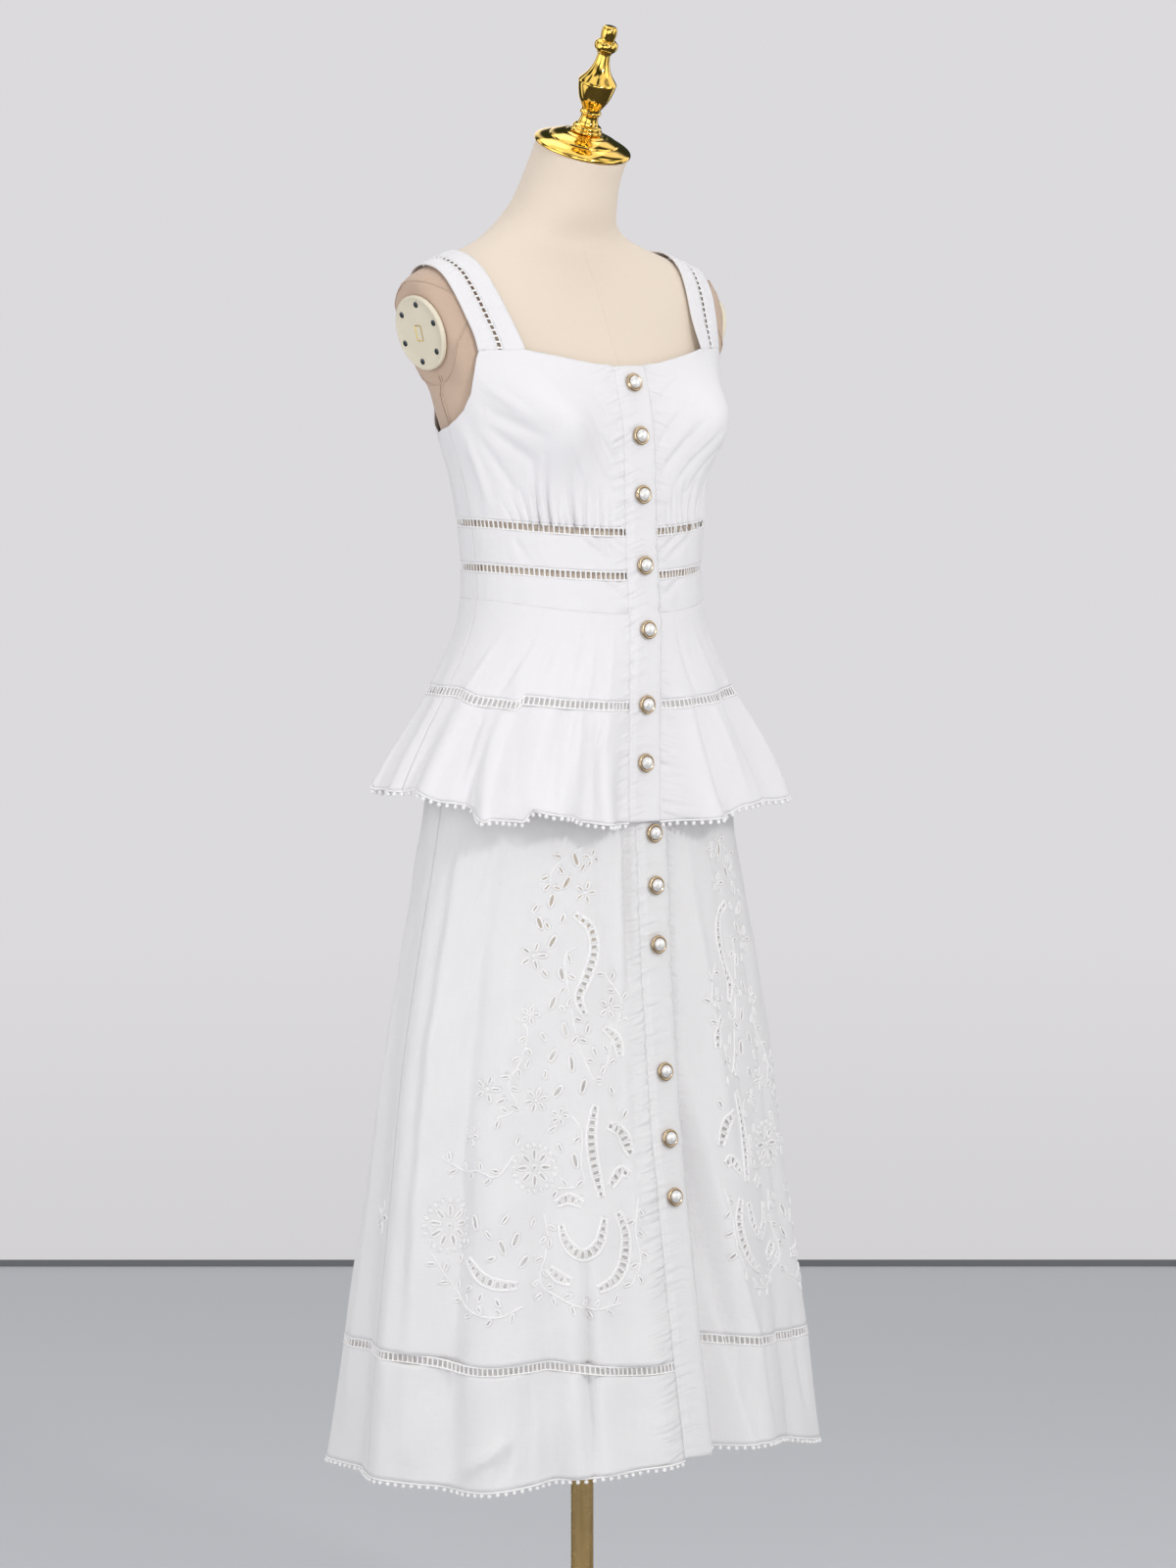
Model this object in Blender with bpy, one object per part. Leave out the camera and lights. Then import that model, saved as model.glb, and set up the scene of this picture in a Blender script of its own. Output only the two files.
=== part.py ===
# Eyelet button-down midi dress on a limbless dress form with a turned cap, a pole and a round base.
# Metres, +Z up. The wearer faces -Y, so the wearer's right is at -X.
# A turn is an angle round the body in degrees: 0 at centre front, growing towards the wearer's left.
import math

import bpy
from mathutils import Vector
from mathutils.geometry import delaunay_2d_cdt

# Driving sizes
CLOTH = 0.0012           # wall of the cotton
SEAM = 0.0003            # gap between neighbouring pieces
LADDER = 0.009           # height of the openwork insertions
PLACKET_HALF = 0.018     # half the width of the button placket
UNDERLAP = 0.014         # how far the left front runs under the placket, past centre front
UPPER_LIFT = 0.0023      # middle of the placket's wall above the middle of the front under it
SKIRT_LIFT = 0.0028
SIDE_TURN = 90.0         # side seams
WAIST_SIDE = 1.130       # waist seam at the side, and how far it dips at centre front
WAIST_DIP = 0.014
LOWER_LADDER = (1.161, 0.008)    # height at the side and dip at centre front
UPPER_LADDER = (1.204, 0.009)
PEPLUM_LADDER = (1.043, 0.014)
PEPLUM_HEM = (0.950, 0.032)
SKIRT_HEM = 0.296        # height that the folds are measured to
PLACKET_HEM = 0.311      # lower end of the skirt's placket
TRIM_DROP = 0.004        # height of the picot trim's heading
HEM_STEP_TURN = -3.8     # the right front's lines end here and the left front's start
SKIRT_INSET = 0.0022     # skirt inside the peplum at the waist

POLE_RADIUS = 0.011
BASE_RADIUS = 0.170
BASE_HEIGHT = 0.012
BOSS_RADIUS = 0.030
BOSS_TOP = 0.034
FORM_BOTTOM = 0.800
FLANGE_RADIUS = 0.036
FLANGE_HEIGHT = 0.010

CAP_CENTRE = (0.0, 0.0, 1.564)   # middle of the cap's flat underside
CAP_TILT = 21.5                  # degrees forward
ARM_PLATE = (0.1700, 0.031, 1.386)
ARM_PLATE_RADIUS = 0.037
ARM_PLATE_THICK = 0.005
ARM_PLATE_DROP = 15.0            # degrees that a plate faces down
BUTTON_RADIUS = 0.0092
GATHER_PITCH = 5.6       # degrees from one gather under the bust to the next

# Dress form: height, half width, half depth, middle of the depth
FORM_SECTIONS = (
    (0.800, 0.136, 0.090, 0.008),
    (0.812, 0.146, 0.099, 0.008),
    (0.860, 0.152, 0.103, 0.008),
    (0.930, 0.155, 0.104, 0.008),
    (1.000, 0.148, 0.101, 0.006),
    (1.060, 0.134, 0.097, 0.003),
    (1.113, 0.1228, 0.0935, 0.000),
    (1.160, 0.1213, 0.0905, 0.001),
    (1.204, 0.1255, 0.0890, 0.003),
    (1.250, 0.1340, 0.0885, 0.007),
    (1.287, 0.1450, 0.0895, 0.0115),
    (1.313, 0.1530, 0.0890, 0.015),
    (1.335, 0.1600, 0.0880, 0.018),
    (1.356, 0.1770, 0.0830, 0.024),
    (1.384, 0.2000, 0.0740, 0.030),
    (1.410, 0.2000, 0.0690, 0.036),
    (1.425, 0.1920, 0.0620, 0.037),
    (1.440, 0.1740, 0.0560, 0.039),
    (1.452, 0.1470, 0.0520, 0.042),
    (1.462, 0.1200, 0.0495, 0.045),
    (1.474, 0.0880, 0.0490, 0.047),
    (1.490, 0.0650, 0.0500, 0.042),
    (1.510, 0.0525, 0.0485, 0.029),
    (1.540, 0.0460, 0.0450, 0.014),
    (1.5636, 0.0440, 0.0440, 0.000),
)
# Bodice and waistbands: height, half width, half depth, middle of the depth
BODICE_SECTIONS = (
    (1.105, 0.1285, 0.0995, 0.000),
    (1.130, 0.1267, 0.0985, 0.000),
    (1.160, 0.1265, 0.0970, 0.001),
    (1.190, 0.1295, 0.0965, 0.002),
    (1.213, 0.1325, 0.0965, 0.003),
    (1.250, 0.1395, 0.0975, 0.006),
    (1.287, 0.1495, 0.0985, 0.010),
    (1.313, 0.1565, 0.0970, 0.013),
    (1.340, 0.1660, 0.0935, 0.0165),
    (1.375, 0.1765, 0.0890, 0.0225),
)
# Peplum: height, half width, half depth, middle, pull-in at centre front, sideways drift of centre front
PEPLUM_SECTIONS = (
    (0.905, 0.2370, 0.1600, 0.004, 0.0400, -0.014),
    (0.950, 0.2180, 0.1450, 0.004, 0.0300, -0.011),
    (1.000, 0.1890, 0.1290, 0.003, 0.0180, -0.008),
    (1.038, 0.1640, 0.1190, 0.003, 0.0090, -0.006),
    (1.080, 0.1410, 0.1080, 0.002, 0.0020, -0.003),
    (1.105, 0.1310, 0.1025, 0.001, 0.0005, 0.000),
    (1.132, 0.1270, 0.0988, 0.000, 0.0000, 0.000),
)
# Skirt: height, half width, half depth, middle of the depth
SKIRT_SECTIONS = (
    (0.280, 0.2500, 0.2000, 0.010),
    (0.411, 0.2400, 0.1740, 0.008),
    (0.575, 0.2230, 0.1455, 0.006),
    (0.680, 0.2110, 0.1325, 0.006),
    (0.800, 0.1900, 0.1222, 0.006),
    (0.913, 0.1680, 0.1155, 0.006),
    (1.000, 0.1560, 0.1090, 0.006),
    (1.060, 0.1415, 0.1030, 0.003),
    (1.132, 0.1267, 0.0985, 0.000),
)
# Top edge of the bodice: turn from centre front, height
BODICE_TOP = (
    (0.0, 1.353),
    (13.0, 1.3565),
    (27.0, 1.3645),
    (37.2, 1.3700),
    (56.0, 1.3700),
    (61.5, 1.3500),
    (68.0, 1.3276),
    (75.0, 1.3125),
    (82.0, 1.3035),
    (90.0, 1.2965),
    (107.0, 1.2895),
    (118.0, 1.2980),
    (128.0, 1.3180),
    (180.0, 1.3180),
)
# Largest folds of the skirt: turn, half width in degrees, depth at the hem, height where it starts
SKIRT_FOLDS = (
    (10.2, 4.0, -0.030, 0.98),
    (-9.0, 5.0, 0.009, 0.95),
    (21.0, 7.0, 0.010, 0.90),
    (-36.0, 3.4, -0.015, 0.74),
    (-23.0, 6.5, 0.009, 0.85),
    (-49.0, 7.0, 0.009, 0.85),
    (-65.0, 6.5, -0.012, 0.80),
    (-84.0, 5.5, 0.009, 0.98),
    (-101.0, 7.0, -0.012, 0.90),
    (-119.0, 7.0, 0.011, 0.85),
    (-137.0, 7.5, -0.012, 0.88),
    (-155.0, 7.5, 0.012, 0.86),
    (-172.0, 6.5, -0.011, 0.90),
    (171.0, 7.0, 0.010, 0.88),
    (153.0, 7.5, -0.013, 0.84),
    (134.0, 7.5, 0.011, 0.90),
    (114.0, 7.0, -0.012, 0.86),
    (94.0, 6.5, 0.010, 0.96),
    (74.0, 6.5, -0.012, 0.82),
    (56.0, 7.0, 0.010, 0.86),
    (39.0, 5.0, -0.010, 0.78),
)
# Largest folds of the peplum: turn, half width in degrees, depth at the hem
PEPLUM_FOLDS = (
    (-58.0, 3.6, -0.014),
    (-50.0, 5.0, 0.008),
    (-92.0, 5.0, -0.012),
    (-128.0, 5.0, -0.012),
    (-165.0, 5.0, -0.012),
    (161.0, 5.0, -0.012),
    (126.0, 5.0, -0.012),
    (91.0, 5.0, -0.012),
    (57.0, 4.0, -0.013),
    (32.0, 4.5, -0.010),
)
# Buttons up the front: height of each
BUTTON_HEIGHTS = (1.337, 1.287, 1.231, 1.163, 1.101, 1.030, 0.974, 0.906, 0.856, 0.799, 0.677, 0.613, 0.557)
SKIRT_BUTTONS_BELOW = 0.915

# Cutwork of a skirt front. Every place is a turn past centre front and a height.
# Leaves: turn, height, tilt from upright, length
CUT_LEAVES = (
    (28.0, 0.884, -20.0, 0.014),
    (30.8, 0.862, 30.0, 0.013),
    (35.6, 0.845, 10.0, 0.013),
    (39.1, 0.824, -25.0, 0.013),
    (34.5, 0.806, 28.0, 0.013),
    (31.0, 0.775, -14.0, 0.013),
    (33.5, 0.748, 22.0, 0.013),
    (29.5, 0.722, -16.0, 0.014),
    (33.0, 0.698, 28.0, 0.013),
    (27.5, 0.690, -5.0, 0.015),
    (24.2, 0.668, 16.0, 0.014),
    (31.5, 0.664, 36.0, 0.013),
    (27.0, 0.598, -10.0, 0.014),
    (43.7, 0.525, 25.0, 0.014),
    (47.3, 0.518, -20.0, 0.014),
    (41.6, 0.504, 42.0, 0.013),
    (55.4, 0.541, -15.0, 0.014),
)
# Flowers: turn, height, petal length, petals, distance of the petals from the middle
CUT_FLOWERS = (
    (38.4, 0.592, 0.011, 8, 0.0068),
    (52.8, 0.667, 0.009, 5, 0.0042),
    (40.5, 0.793, 0.009, 5, 0.0042),
)
# Ladder scrolls: width of the ribbon, then the route as turns and heights
CUT_SCROLLS = (
    (0.0075, ((27.8, 0.832), (22.2, 0.818), (20.8, 0.796), (23.3, 0.770), (25.6, 0.752), (23.4, 0.735))),
    (0.0085, ((20.8, 0.650), (22.4, 0.622), (22.0, 0.595), (20.2, 0.562))),
    (0.0085, ((17.6, 0.630), (13.6, 0.622), (11.2, 0.600))),
    (0.0085, ((31.3, 0.538), (30.0, 0.520), (26.0, 0.509), (21.8, 0.519), (19.8, 0.543))),
    (0.0090, ((16.2, 0.548), (14.2, 0.525), (15.2, 0.500), (18.2, 0.484), (22.8, 0.476))),
    (0.0080, ((58.0, 0.506), (53.6, 0.490), (48.6, 0.483), (43.4, 0.482))),
)
LEFT_SHIFT = 6.5         # the left front's pattern starts past its deep fold
SCROLL_CELL = 0.0095     # pitch of the ladder cells along a scroll
SCROLL_BAR = 0.0028      # thread bar between two cells
LEAF_WIDTH = 0.0050
# The back carries a smaller spray at each side: turn past centre front, height, petal length, petals, distance
BACK_FLOWERS = (
    (97.0, 0.538, 0.0125, 5, 0.0042),
    (148.0, 0.505, 0.0125, 5, 0.0042),
)


# Centre edges of the fronts, and where the openwork insertions start beside the placket
RIGHT_EDGE = (-PLACKET_HALF - SEAM, 0.0)
LEFT_EDGE = (-UNDERLAP, 0.0)
LADDER_START = (PLACKET_HALF + SEAM, 0.0)


def lerp(a, b, share):
    return a + (b - a) * share


def read_table(table, key):
    """The other columns of a table at a value of its first one, on a smooth curve through its rows."""
    last = len(table) - 1
    row = 0
    while row < last - 1 and key > table[row + 1][0]:
        row += 1
    low = table[row]
    high = table[row + 1]
    before = table[max(row - 1, 0)]
    after = table[min(row + 2, last)]
    span = high[0] - low[0]
    share = min(max((key - low[0]) / span, 0.0), 1.0)
    squared = share * share
    cubed = squared * share
    values = []
    for column in range(1, len(low)):
        slope_low = (high[column] - before[column]) / (high[0] - before[0]) * span
        slope_high = (after[column] - low[column]) / (after[0] - low[0]) * span
        values.append((2 * cubed - 3 * squared + 1) * low[column] + (cubed - 2 * squared + share) * slope_low
                      + (3 * squared - 2 * cubed) * high[column] + (cubed - squared) * slope_high)
    return values


def read_straight(table, key):
    """The second column of a table at a value of its first one, on straight lines between its rows."""
    for low, high in zip(table, table[1:]):
        if key <= high[0]:
            return lerp(low[1], high[1], (key - low[0]) / (high[0] - low[0]))
    return table[-1][1]


def wrap(turn):
    return (turn + 180.0) % 360.0 - 180.0


def bell(offset, width):
    return math.exp(-(offset / width) ** 2)


def edge_height(line, turn):
    """A seam's height: level at the sides and back, dipping towards centre front."""
    side, dip = line
    return side - dip * max(math.cos(math.radians(turn)), 0.0) ** 2


def waist_seam(turn):
    return edge_height((WAIST_SIDE, WAIST_DIP), turn)


# Swing of the skirt's two lower lines: turn, height of the hem, height of the openwork insertion
RIGHT_HEM_LINES = (
    (-180.0, 0.296, 0.4120), (-90.0, 0.294, 0.4110), (-72.0, 0.291, 0.4080), (-54.0, 0.288, 0.4005),
    (-35.0, 0.298, 0.4045), (-15.0, 0.306, 0.3970), (HEM_STEP_TURN, 0.310, 0.3980),
)
LEFT_HEM_LINES = (
    (HEM_STEP_TURN, 0.314, 0.4230), (12.0, 0.315, 0.4160), (30.0, 0.314, 0.4080), (55.0, 0.298, 0.4040),
    (90.0, 0.296, 0.4100), (180.0, 0.296, 0.4120),
)


def hem_lines(turn):
    """Heights of the hem and of the insertion above it: the left front hangs higher beside the placket."""
    turn = wrap(turn)
    return read_table(RIGHT_HEM_LINES if turn < HEM_STEP_TURN else LEFT_HEM_LINES, turn)


def skirt_hem(turn):
    return hem_lines(turn)[0]


def skirt_ladder(turn):
    return hem_lines(turn)[1]


def bodice_top(turn):
    return read_straight(BODICE_TOP, abs(wrap(turn)))


def bodice_point(turn, z):
    """Middle of the bodice's wall: an oval body with a soft cup on each side and gathers under it."""
    width, depth, middle = read_table(BODICE_SECTIONS, z)
    turn = wrap(turn)
    angle = math.radians(turn)
    spread = 0.038 if z > 1.303 else 0.043
    cup = 0.040 * bell(abs(turn) - 38.0, 17.5) * bell(z - 1.303, spread)
    rise = z - edge_height(UPPER_LADDER, turn)
    gather = 0.0
    if 0.0 < rise < 0.075:
        place = abs(turn) - 33.2
        gather = 0.0017 * math.cos(math.radians(place * 360.0 / GATHER_PITCH)) * bell(place, 15.0)
        gather *= 1.0 - rise / 0.075
    x = (width + gather) * math.sin(angle)
    y = middle - (depth + gather) * math.cos(angle) - cup
    return Vector((x, y, z))


def peplum_wave(turn):
    """Ruffle waves of unlike width, flat at the placket."""
    angle = math.radians(turn)
    return math.cos(20.0 * angle + 1.3 * math.sin(3.0 * angle)) * (1.0 - bell(turn, 11.0))


def peplum_point(turn, z):
    width, depth, middle, pull, drift = read_table(PEPLUM_SECTIONS, z)
    turn = wrap(turn)
    angle = math.radians(turn)
    flare = min(max((1.10 - z) / 0.17, 0.0), 1.15)
    out = 0.0105 * flare ** 1.8 * peplum_wave(turn)
    for fold_turn, fold_width, fold_depth in PEPLUM_FOLDS:
        out += fold_depth * flare ** 2.2 * bell(wrap(turn - fold_turn), fold_width)
    x = (width + out) * math.sin(angle) + drift * bell(turn, 22.0)
    y = middle - (depth + out) * math.cos(angle) + pull * bell(turn, 15.0)
    return Vector((x, y, z))


def skirt_point(turn, z):
    width, depth, middle = read_table(SKIRT_SECTIONS, z)
    turn = wrap(turn)
    angle = math.radians(turn)
    out = -SKIRT_INSET * min(max((z - 0.93) / 0.15, 0.0), 1.0)
    for fold_turn, fold_width, fold_depth, fold_top in SKIRT_FOLDS:
        if z < fold_top:
            growth = ((fold_top - z) / (fold_top - SKIRT_HEM)) ** 1.15
            out += fold_depth * growth * bell(wrap(turn - fold_turn), fold_width)
    x = (width + out) * math.sin(angle)
    y = middle - (depth + out) * math.cos(angle)
    return Vector((x, y, z))


def outward(place, turn, z):
    """Unit normal of a surface given by turn and height."""
    step = 0.4
    rise = 0.0015
    along = place(turn + step, z) - place(turn - step, z)
    up = place(turn, z + rise) - place(turn, z - rise)
    return along.cross(up).normalized()


def turn_at(place, x, z):
    """The turn near centre front where a surface reaches x."""
    low, high = -40.0, 40.0
    for _ in range(30):
        middle = (low + high) / 2
        if place(middle, z).x < x:
            low = middle
        else:
            high = middle
    return low


def turn_of(place, column, z):
    """A column is a turn, or for an edge that runs straight down the front, its x and a whole turn."""
    if isinstance(column, tuple):
        return column[1] + turn_at(place, place(0.0, z).x + column[0], z)
    return column


def new_object(name, points, faces, material):
    mesh = bpy.data.meshes.new(name)
    mesh.from_pydata([tuple(p) for p in points], [], faces)
    mesh.update()
    mesh.materials.append(material)
    part = bpy.data.objects.new(name, mesh)
    bpy.context.scene.collection.objects.link(part)
    return part


def thick_sheet(name, spots, triangles, place, material, lift=0.0, thick=CLOTH):
    """A closed wall on a surface: spots are (turn, height) pairs, triangles run anticlockwise from outside."""
    used = sorted({index for triangle in triangles for index in triangle})
    order = {index: number for number, index in enumerate(used)}
    count = len(used)
    outer = []
    inner = []
    for index in used:
        turn, z = spots[index]
        point = place(turn, z)
        normal = outward(place, turn, z)
        outer.append(point + normal * (lift + thick / 2))
        inner.append(point + normal * (lift - thick / 2))
    faces = []
    rims = {}
    for triangle in triangles:
        a, b, c = (order[index] for index in triangle)
        faces.append((a, b, c))
        faces.append((a + count, c + count, b + count))
        for edge in ((a, b), (b, c), (c, a)):
            if (edge[1], edge[0]) in rims:
                del rims[(edge[1], edge[0])]
            else:
                rims[edge] = True
    for a, b in rims:
        faces.append((b, a, a + count))
        faces.append((b, a + count, b + count))
    return new_object(name, outer + inner, faces, material)


def grid(columns, rows):
    """Triangles of a grid whose spots run row by row upwards."""
    triangles = []
    for row in range(rows - 1):
        for column in range(columns - 1):
            a = row * columns + column
            b = a + 1
            c = b + columns
            d = a + columns
            if (row + column) % 2:
                triangles += [(a, b, c), (a, c, d)]
            else:
                triangles += [(a, b, d), (b, c, d)]
    return triangles


def panel(name, place, columns, bottom, top, shares, material, lift=0.0):
    """A plain panel between two seams: bottom and top give the height at a turn."""
    spots = []
    for share in shares:
        for column in columns:
            guess = turn_of(place, column, bottom(0.0))
            z = lerp(bottom(guess), top(guess), share)
            spots.append((turn_of(place, column, z), z))
    return thick_sheet(name, spots, grid(len(columns), len(shares)), place, material, lift)


def steps(start, end, step):
    count = max(int(round(abs(end - start) / step)), 1)
    return [lerp(start, end, i / count) for i in range(count + 1)]


def inside(polygon, x, y):
    crossed = False
    for (ax, ay), (bx, by) in zip(polygon, polygon[1:] + polygon[:1]):
        if (ay > y) != (by > y) and x < (bx - ax) * (y - ay) / (by - ay) + ax:
            crossed = not crossed
    return crossed


def degrees_per_metre(place, turn, z):
    return 1.0 / (place(turn + 0.5, z) - place(turn - 0.5, z)).length


def to_panel(place, turn, z, shape):
    """Moves a small flat outline in metres onto a panel, as turns and heights."""
    rate = degrees_per_metre(place, turn, z)
    return [(turn + dx * rate, z + dz) for dx, dz in shape]


def leaf_shape(length, width, tilt, start=0.0):
    """A pointed six-sided leaf whose length runs up from start, turned by tilt degrees clockwise."""
    shape = ((0.0, 0.0), (width / 2, length * 0.35), (width / 2, length * 0.68),
             (0.0, length), (-width / 2, length * 0.68), (-width / 2, length * 0.35))
    sine = math.sin(math.radians(tilt))
    cosine = math.cos(math.radians(tilt))
    return [(x * cosine + (z + start) * sine, (z + start) * cosine - x * sine) for x, z in shape]


def flower_shapes(petal, count, start):
    return [leaf_shape(petal, LEAF_WIDTH, 360.0 * i / count + 18.0, start) for i in range(count)]


def smooth_route(points, steps_each=8):
    route = []
    last = len(points) - 1
    for row in range(last):
        a, b = points[row], points[row + 1]
        before = points[max(row - 1, 0)]
        after = points[min(row + 2, last)]
        for i in range(steps_each):
            t = i / steps_each
            route.append(tuple(0.5 * (2 * a[k] + (b[k] - before[k]) * t
                                      + (2 * before[k] - 5 * a[k] + 4 * b[k] - after[k]) * t * t
                                      + (3 * a[k] - before[k] - 3 * b[k] + after[k]) * t ** 3)
                               for k in range(2)))
    route.append(points[last])
    return route


def scroll_cells(place, width, route, side):
    """Four-sided cells of a ladder scroll, narrowing to both ends."""
    flat = []
    travelled = [0.0]
    for turn, z in smooth_route(route):
        flat.append((side * turn, z))
        if len(flat) > 1:
            travelled.append(travelled[-1] + (place(*flat[-1]) - place(*flat[-2])).length)
    total = travelled[-1]
    count = int(total / SCROLL_CELL)

    def on_route(distance):
        for i in range(1, len(flat)):
            if distance <= travelled[i] or i == len(flat) - 1:
                share = (distance - travelled[i - 1]) / (travelled[i] - travelled[i - 1])
                rate = degrees_per_metre(place, *flat[i])
                run = ((flat[i][0] - flat[i - 1][0]) / rate, flat[i][1] - flat[i - 1][1])
                size = math.hypot(*run)
                spot = (lerp(flat[i - 1][0], flat[i][0], share), lerp(flat[i - 1][1], flat[i][1], share))
                return spot, (run[0] / size, run[1] / size), rate

    cells = []
    for cell in range(count):
        corners = []
        start = (cell + 0.5) * total / count - (SCROLL_CELL - SCROLL_BAR) / 2
        end = start + SCROLL_CELL - SCROLL_BAR
        for distance, hand in ((start, 1), (end, 1), (end, -1), (start, -1)):
            spot, run, rate = on_route(min(max(distance, 0.0), total))
            half = hand * width / 2 * math.sin(math.pi * min(max((distance / total) * 0.84 + 0.08, 0), 1)) ** 0.6
            corners.append((spot[0] - run[1] * half * rate, spot[1] + run[0] * half))
        cells.append(corners)
    return cells


def front_cutwork(place, side):
    """Every cut hole of a skirt front, as outlines of turns and heights; side is -1 right, 1 left."""
    holes = []
    shift = LEFT_SHIFT if side > 0 else 0.0
    for turn, z, tilt, length in CUT_LEAVES:
        shape = leaf_shape(length, LEAF_WIDTH, -side * tilt, -length / 2)
        holes.append(to_panel(place, side * (turn + shift), z, shape))
    for turn, z, petal, count, start in CUT_FLOWERS:
        for shape in flower_shapes(petal, count, start):
            holes.append(to_panel(place, side * (turn + shift), z, shape))
    for width, route in CUT_SCROLLS:
        holes += scroll_cells(place, width, [(turn + shift, z) for turn, z in route], side)
    return holes


def back_cutwork(place):
    holes = []
    for turn, z, petal, count, start in BACK_FLOWERS:
        for side in (-1, 1):
            for shape in flower_shapes(petal, count, start):
                holes.append([(spot[0] % 360.0, spot[1]) for spot in to_panel(place, side * turn, z, shape)])
    return holes


def open_columns(place, columns, z):
    """Columns at a height, without the plain ones that the straight front edges cross there."""
    edges = [turn_of(place, column, z) for column in columns if isinstance(column, tuple)]
    if not edges:
        return columns
    low = min(edges) - 1.0
    high = max(edges) + 1.0
    return [column for column in columns if isinstance(column, tuple) or not low < column < high]


def edge_spots(place, columns, height):
    spots = []
    for column in open_columns(place, columns, height(0.0)):
        z = height(turn_of(place, column, height(0.0)))
        spots.append((turn_of(place, column, z), z))
    return spots


def cut_panel(name, place, columns, bottom, top, heights, holes, material):
    """A panel with holes cut right through: a constrained triangulation in turn and height."""
    stretch = 0.0035         # one degree of turn as metres, so that triangles stay well shaped
    lows = edge_spots(place, columns, bottom)
    highs = edge_spots(place, columns, top)
    left = [(turn_of(place, columns[0], z), z) for z in heights]
    right = [(turn_of(place, columns[-1], z), z) for z in heights]
    rim = lows + right + highs[::-1] + left[::-1]
    spots = list(rim)
    edges = [(i, (i + 1) % len(rim)) for i in range(len(rim))]
    inner_spots = []
    for z in heights:
        for column in open_columns(place, columns, z)[1:-1]:
            turn = turn_of(place, column, z)
            clear = True
            for hole in holes:
                if inside(hole, turn, z):
                    clear = False
                for x, y in hole:
                    if math.hypot((x - turn) * stretch, y - z) < 0.006:
                        clear = False
            if clear and bottom(turn) + 0.012 < z < top(turn) - 0.012:
                inner_spots.append((turn, z))
    spots += inner_spots
    for hole in holes:
        first = len(spots)
        spots += hole
        edges += [(first + i, first + (i + 1) % len(hole)) for i in range(len(hole))]
    flat = [Vector((turn * stretch, z)) for turn, z in spots]
    out_spots, _, out_faces, _, _, _ = delaunay_2d_cdt(flat, edges, [], 0, 1e-7)
    final = [(p.x / stretch, p.y) for p in out_spots]
    triangles = []
    for face in out_faces:
        corners = [out_spots[i] for i in face]
        area = (corners[1] - corners[0]).cross(corners[2] - corners[0])
        x = sum(final[i][0] for i in face) / 3
        y = sum(final[i][1] for i in face) / 3
        if abs(area) < 1e-9 or not inside(rim, x, y) or any(inside(hole, x, y) for hole in holes):
            continue
        triangles.append(tuple(face) if area > 0 else (face[0], face[2], face[1]))
    return thick_sheet(name, final, triangles, place, material)


def turned(name, profile, sides, centre, tilt, material):
    """A turned piece: profile rows are radius and height along its axis, from the bottom up."""
    axis = Vector(tilt).normalized()
    across = axis.orthogonal().normalized()
    over = axis.cross(across)
    points = []
    for radius, height in profile:
        for i in range(sides):
            angle = 2 * math.pi * i / sides
            points.append(Vector(centre) + axis * height
                          + (across * math.cos(angle) + over * math.sin(angle)) * radius)
    faces = [tuple(range(sides))[::-1]]
    for row in range(len(profile) - 1):
        for i in range(sides):
            a = row * sides + i
            b = row * sides + (i + 1) % sides
            faces.append((a, b, b + sides, a + sides))
    first = (len(profile) - 1) * sides
    faces.append(tuple(range(first, first + sides)))
    part = new_object(name, points, faces, material)
    part.data.shade_smooth()
    part.data.set_sharp_from_angle(angle=math.radians(35))
    return part


def make_material(name, colour, roughness, metallic=0.0):
    material = bpy.data.materials.new(name)
    material.use_nodes = True
    shader = material.node_tree.nodes["Principled BSDF"]
    shader.inputs["Base Color"].default_value = (*colour, 1.0)
    shader.inputs["Roughness"].default_value = roughness
    shader.inputs["Metallic"].default_value = metallic
    return material


def form_inside(x, y, z):
    width, depth, middle = read_table(FORM_SECTIONS, z)
    return (x / width) ** 2 + ((y - middle) / depth) ** 2 < 1.0


def form_point(turn, z):
    """Surface of the dress form, flat where an arm plate sits."""
    width, depth, middle = read_table(FORM_SECTIONS, z)
    turn = wrap(turn)
    angle = math.radians(turn)
    bust = 0.034 * bell(abs(turn) - 38.0, 17.0) * bell(z - 1.300, 0.036 if z > 1.300 else 0.040)
    x = width * math.sin(angle)
    y = middle - depth * math.cos(angle) - bust
    lean = math.tan(math.radians(ARM_PLATE_DROP))
    flat = ARM_PLATE[0] - ARM_PLATE_THICK / 2 - 0.0010 + lean * (z - ARM_PLATE[2])
    if 1.33 < z < 1.43:
        x = min(max(x, -flat), flat)
    neck = min(max((z - 1.474) / (FORM_SECTIONS[-1][0] - 1.474), 0.0), 1.0)
    drop = (y - middle) * math.tan(math.radians(CAP_TILT)) * neck
    return Vector((x, y, z + drop))


def build_form(linen):
    """Smooth torso from hip to neck, closed by a flat foot and a tilted flat top."""
    sides = 26
    heights = [row[0] for row in FORM_SECTIONS]
    points = []
    for z in heights:
        for i in range(sides):
            points.append(form_point(360.0 * i / sides - 180.0, z))
    faces = [tuple(range(sides))[::-1]]
    for row in range(len(heights) - 1):
        for i in range(sides):
            a = row * sides + i
            b = row * sides + (i + 1) % sides
            faces.append((a, b, b + sides, a + sides))
    first = (len(heights) - 1) * sides
    faces.append(tuple(range(first, first + sides)))
    part = new_object("form_torso", points, faces, linen)
    part.data.shade_smooth()


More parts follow.
